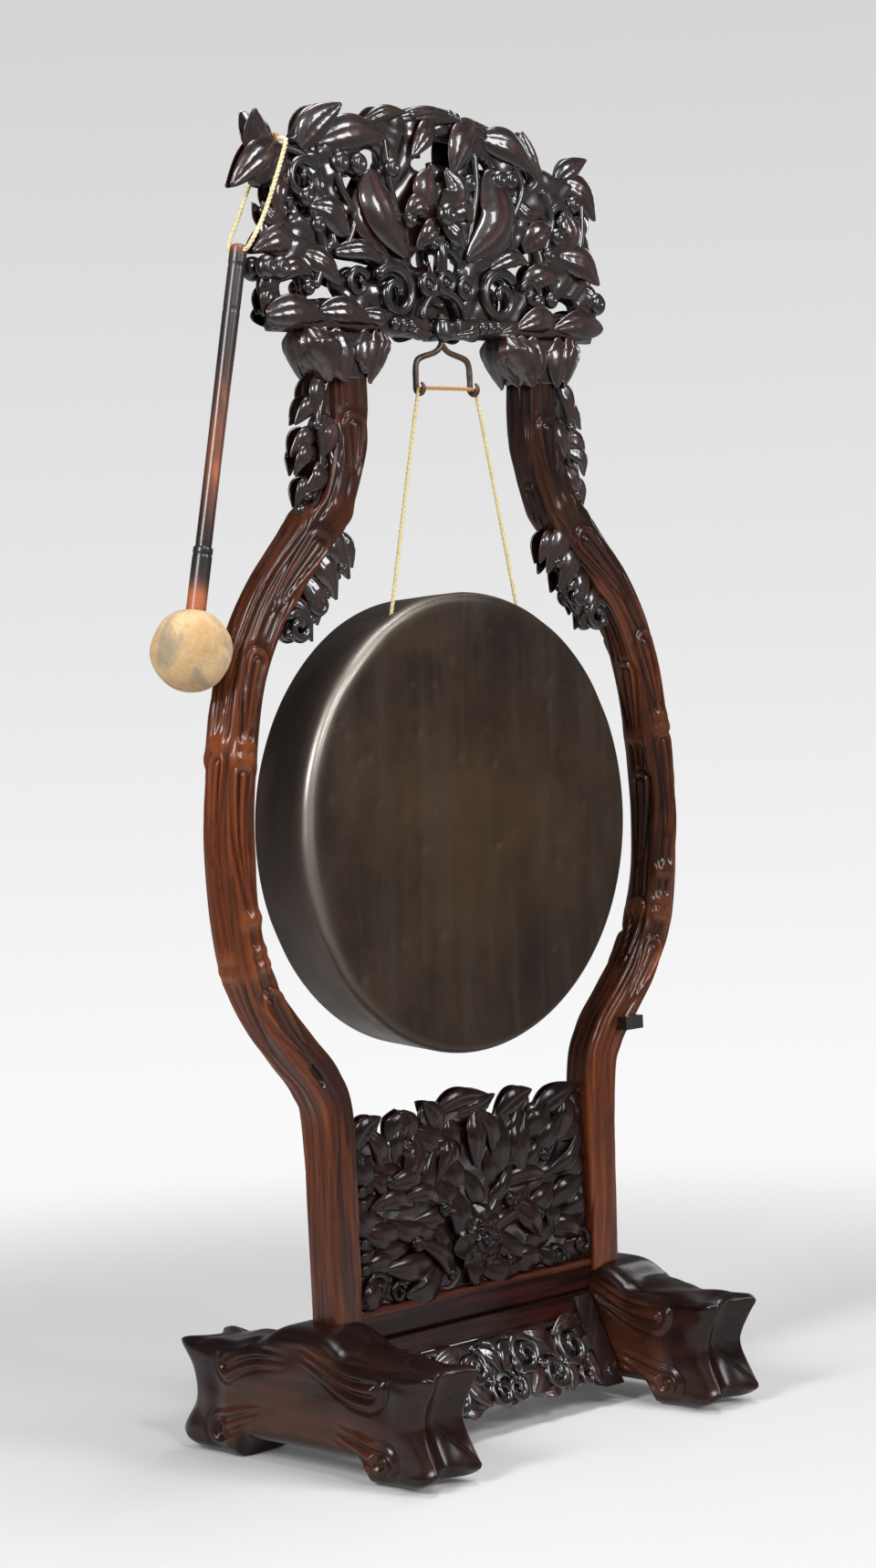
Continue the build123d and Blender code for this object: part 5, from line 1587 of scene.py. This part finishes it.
for side, word in ((1, "right"), (-1, "left")):
    piece(f"{word}_capital_leaves", capital(side), "stand", "dark_wood", [f"{word}_capital"])
    piece(f"{word}_spray_leaves", spray(side), "stand", "dark_wood", [f"{word}_spray"])
    piece(f"{word}_bracket_scrolls", bracket(side), "stand", "dark_wood", [f"{word}_bracket"])

# %% [markdown]
# A plain pale floor, a soft sky and five large lamps stand in for a studio. The lamps are big so
# that the polish shows long soft highlights, and the sky is light grey, paler towards the floor.

# %% Floor, sky and lamps
floor_mesh = bpy.data.meshes.new("floor")
reach = 6.0
corners = [(-reach, -reach, 0), (reach, -reach, 0), (reach, reach, 0), (-reach, reach, 0)]
floor_mesh.from_pydata(corners, [], [(0, 1, 2, 3)])
floor = bpy.data.objects.new("floor", floor_mesh)
scene.collection.objects.link(floor)
paper = Finish("floor_paper", roughness=0.9, specular_ior_level=0.1, emission_strength=0.06)
paper.shader.inputs["Emission Color"].default_value = (1.0, 1.0, 1.0, 1.0)
across = add_node(paper.tree, "ShaderNodeVectorMath", {"operation": "LENGTH"}, {0: paper.place}, 1)
paper.feed(
    base_color=paper.mix(paper.noise(3.0, 2.0), (0.665, 0.652, 0.64), (0.685, 0.672, 0.66)),
    alpha=across.band(0.9, 2.4, 1.0, 0.0),
)
floor_mesh.materials.append(paper.material)

world = bpy.data.worlds.new("studio_sky")
scene.world = world
world.use_nodes = True
sky = world.node_tree
direction = add_node(sky, "ShaderNodeTexCoord", output=0)
level = add_node(sky, "ShaderNodeSeparateXYZ", None, {0: direction}, 2)
greys = ((0.0, 0.90), (0.43, 0.955), (0.50, 0.80), (0.585, 0.66), (0.68, 0.34), (1.0, 0.25))
stops = {"stops": [(at, (grey, grey, grey)) for at, grey in greys]}
shade = add_node(sky, "ShaderNodeValToRGB", stops, {0: level * 0.5 + 0.5})
backdrop = sky.nodes["Background"]
seen = add_node(sky, "ShaderNodeLightPath", output=0)
sky.links.new(shade.socket, backdrop.inputs["Color"])
sky.links.new((seen * 0.70 + 0.30).socket, backdrop.inputs["Strength"])


def lamp(name, place, target, size, power):
    """A large oblong lamp at a place, turned so that it shines along its own -z at the target."""
    data = bpy.data.lights.new(name, "AREA")
    data.shape, data.size, data.size_y, data.energy = "RECTANGLE", size[0], size[1], power
    data.color = (0.955, 0.975, 1.0)
    made = bpy.data.objects.new(name, data)
    scene.collection.objects.link(made)
    back = unit(np.array(place, float) - np.array(target, float))
    side = unit(np.cross((0.0, 0.0, 1.0), back))
    top = np.cross(back, side)
    made.matrix_world = Matrix([[side[i], top[i], back[i], place[i]] for i in range(3)] + [[0, 0, 0, 1]])


lamp("key_lamp", (-3.9, -0.5, 2.9), (0, 0, 1.0), (0.9, 1.9), 140)
lamp("front_lamp", (1.3, -4.1, 3.0), (0, 0, 0.9), (1.3, 1.8), 105)
lamp("near_lamp", (-1.7, -3.9, 3.6), (0, 0, 1.0), (0.7, 1.1), 75)
lamp("top_lamp", (0.3, -0.4, 4.4), (0, 0, 0.9), (2.0, 1.2), 80)
lamp("edge_lamp", (3.6, 1.0, 2.2), (0, 0, 0.9), (0.7, 2.0), 14)
scene.view_settings.view_transform = "Standard"
print("stage set")
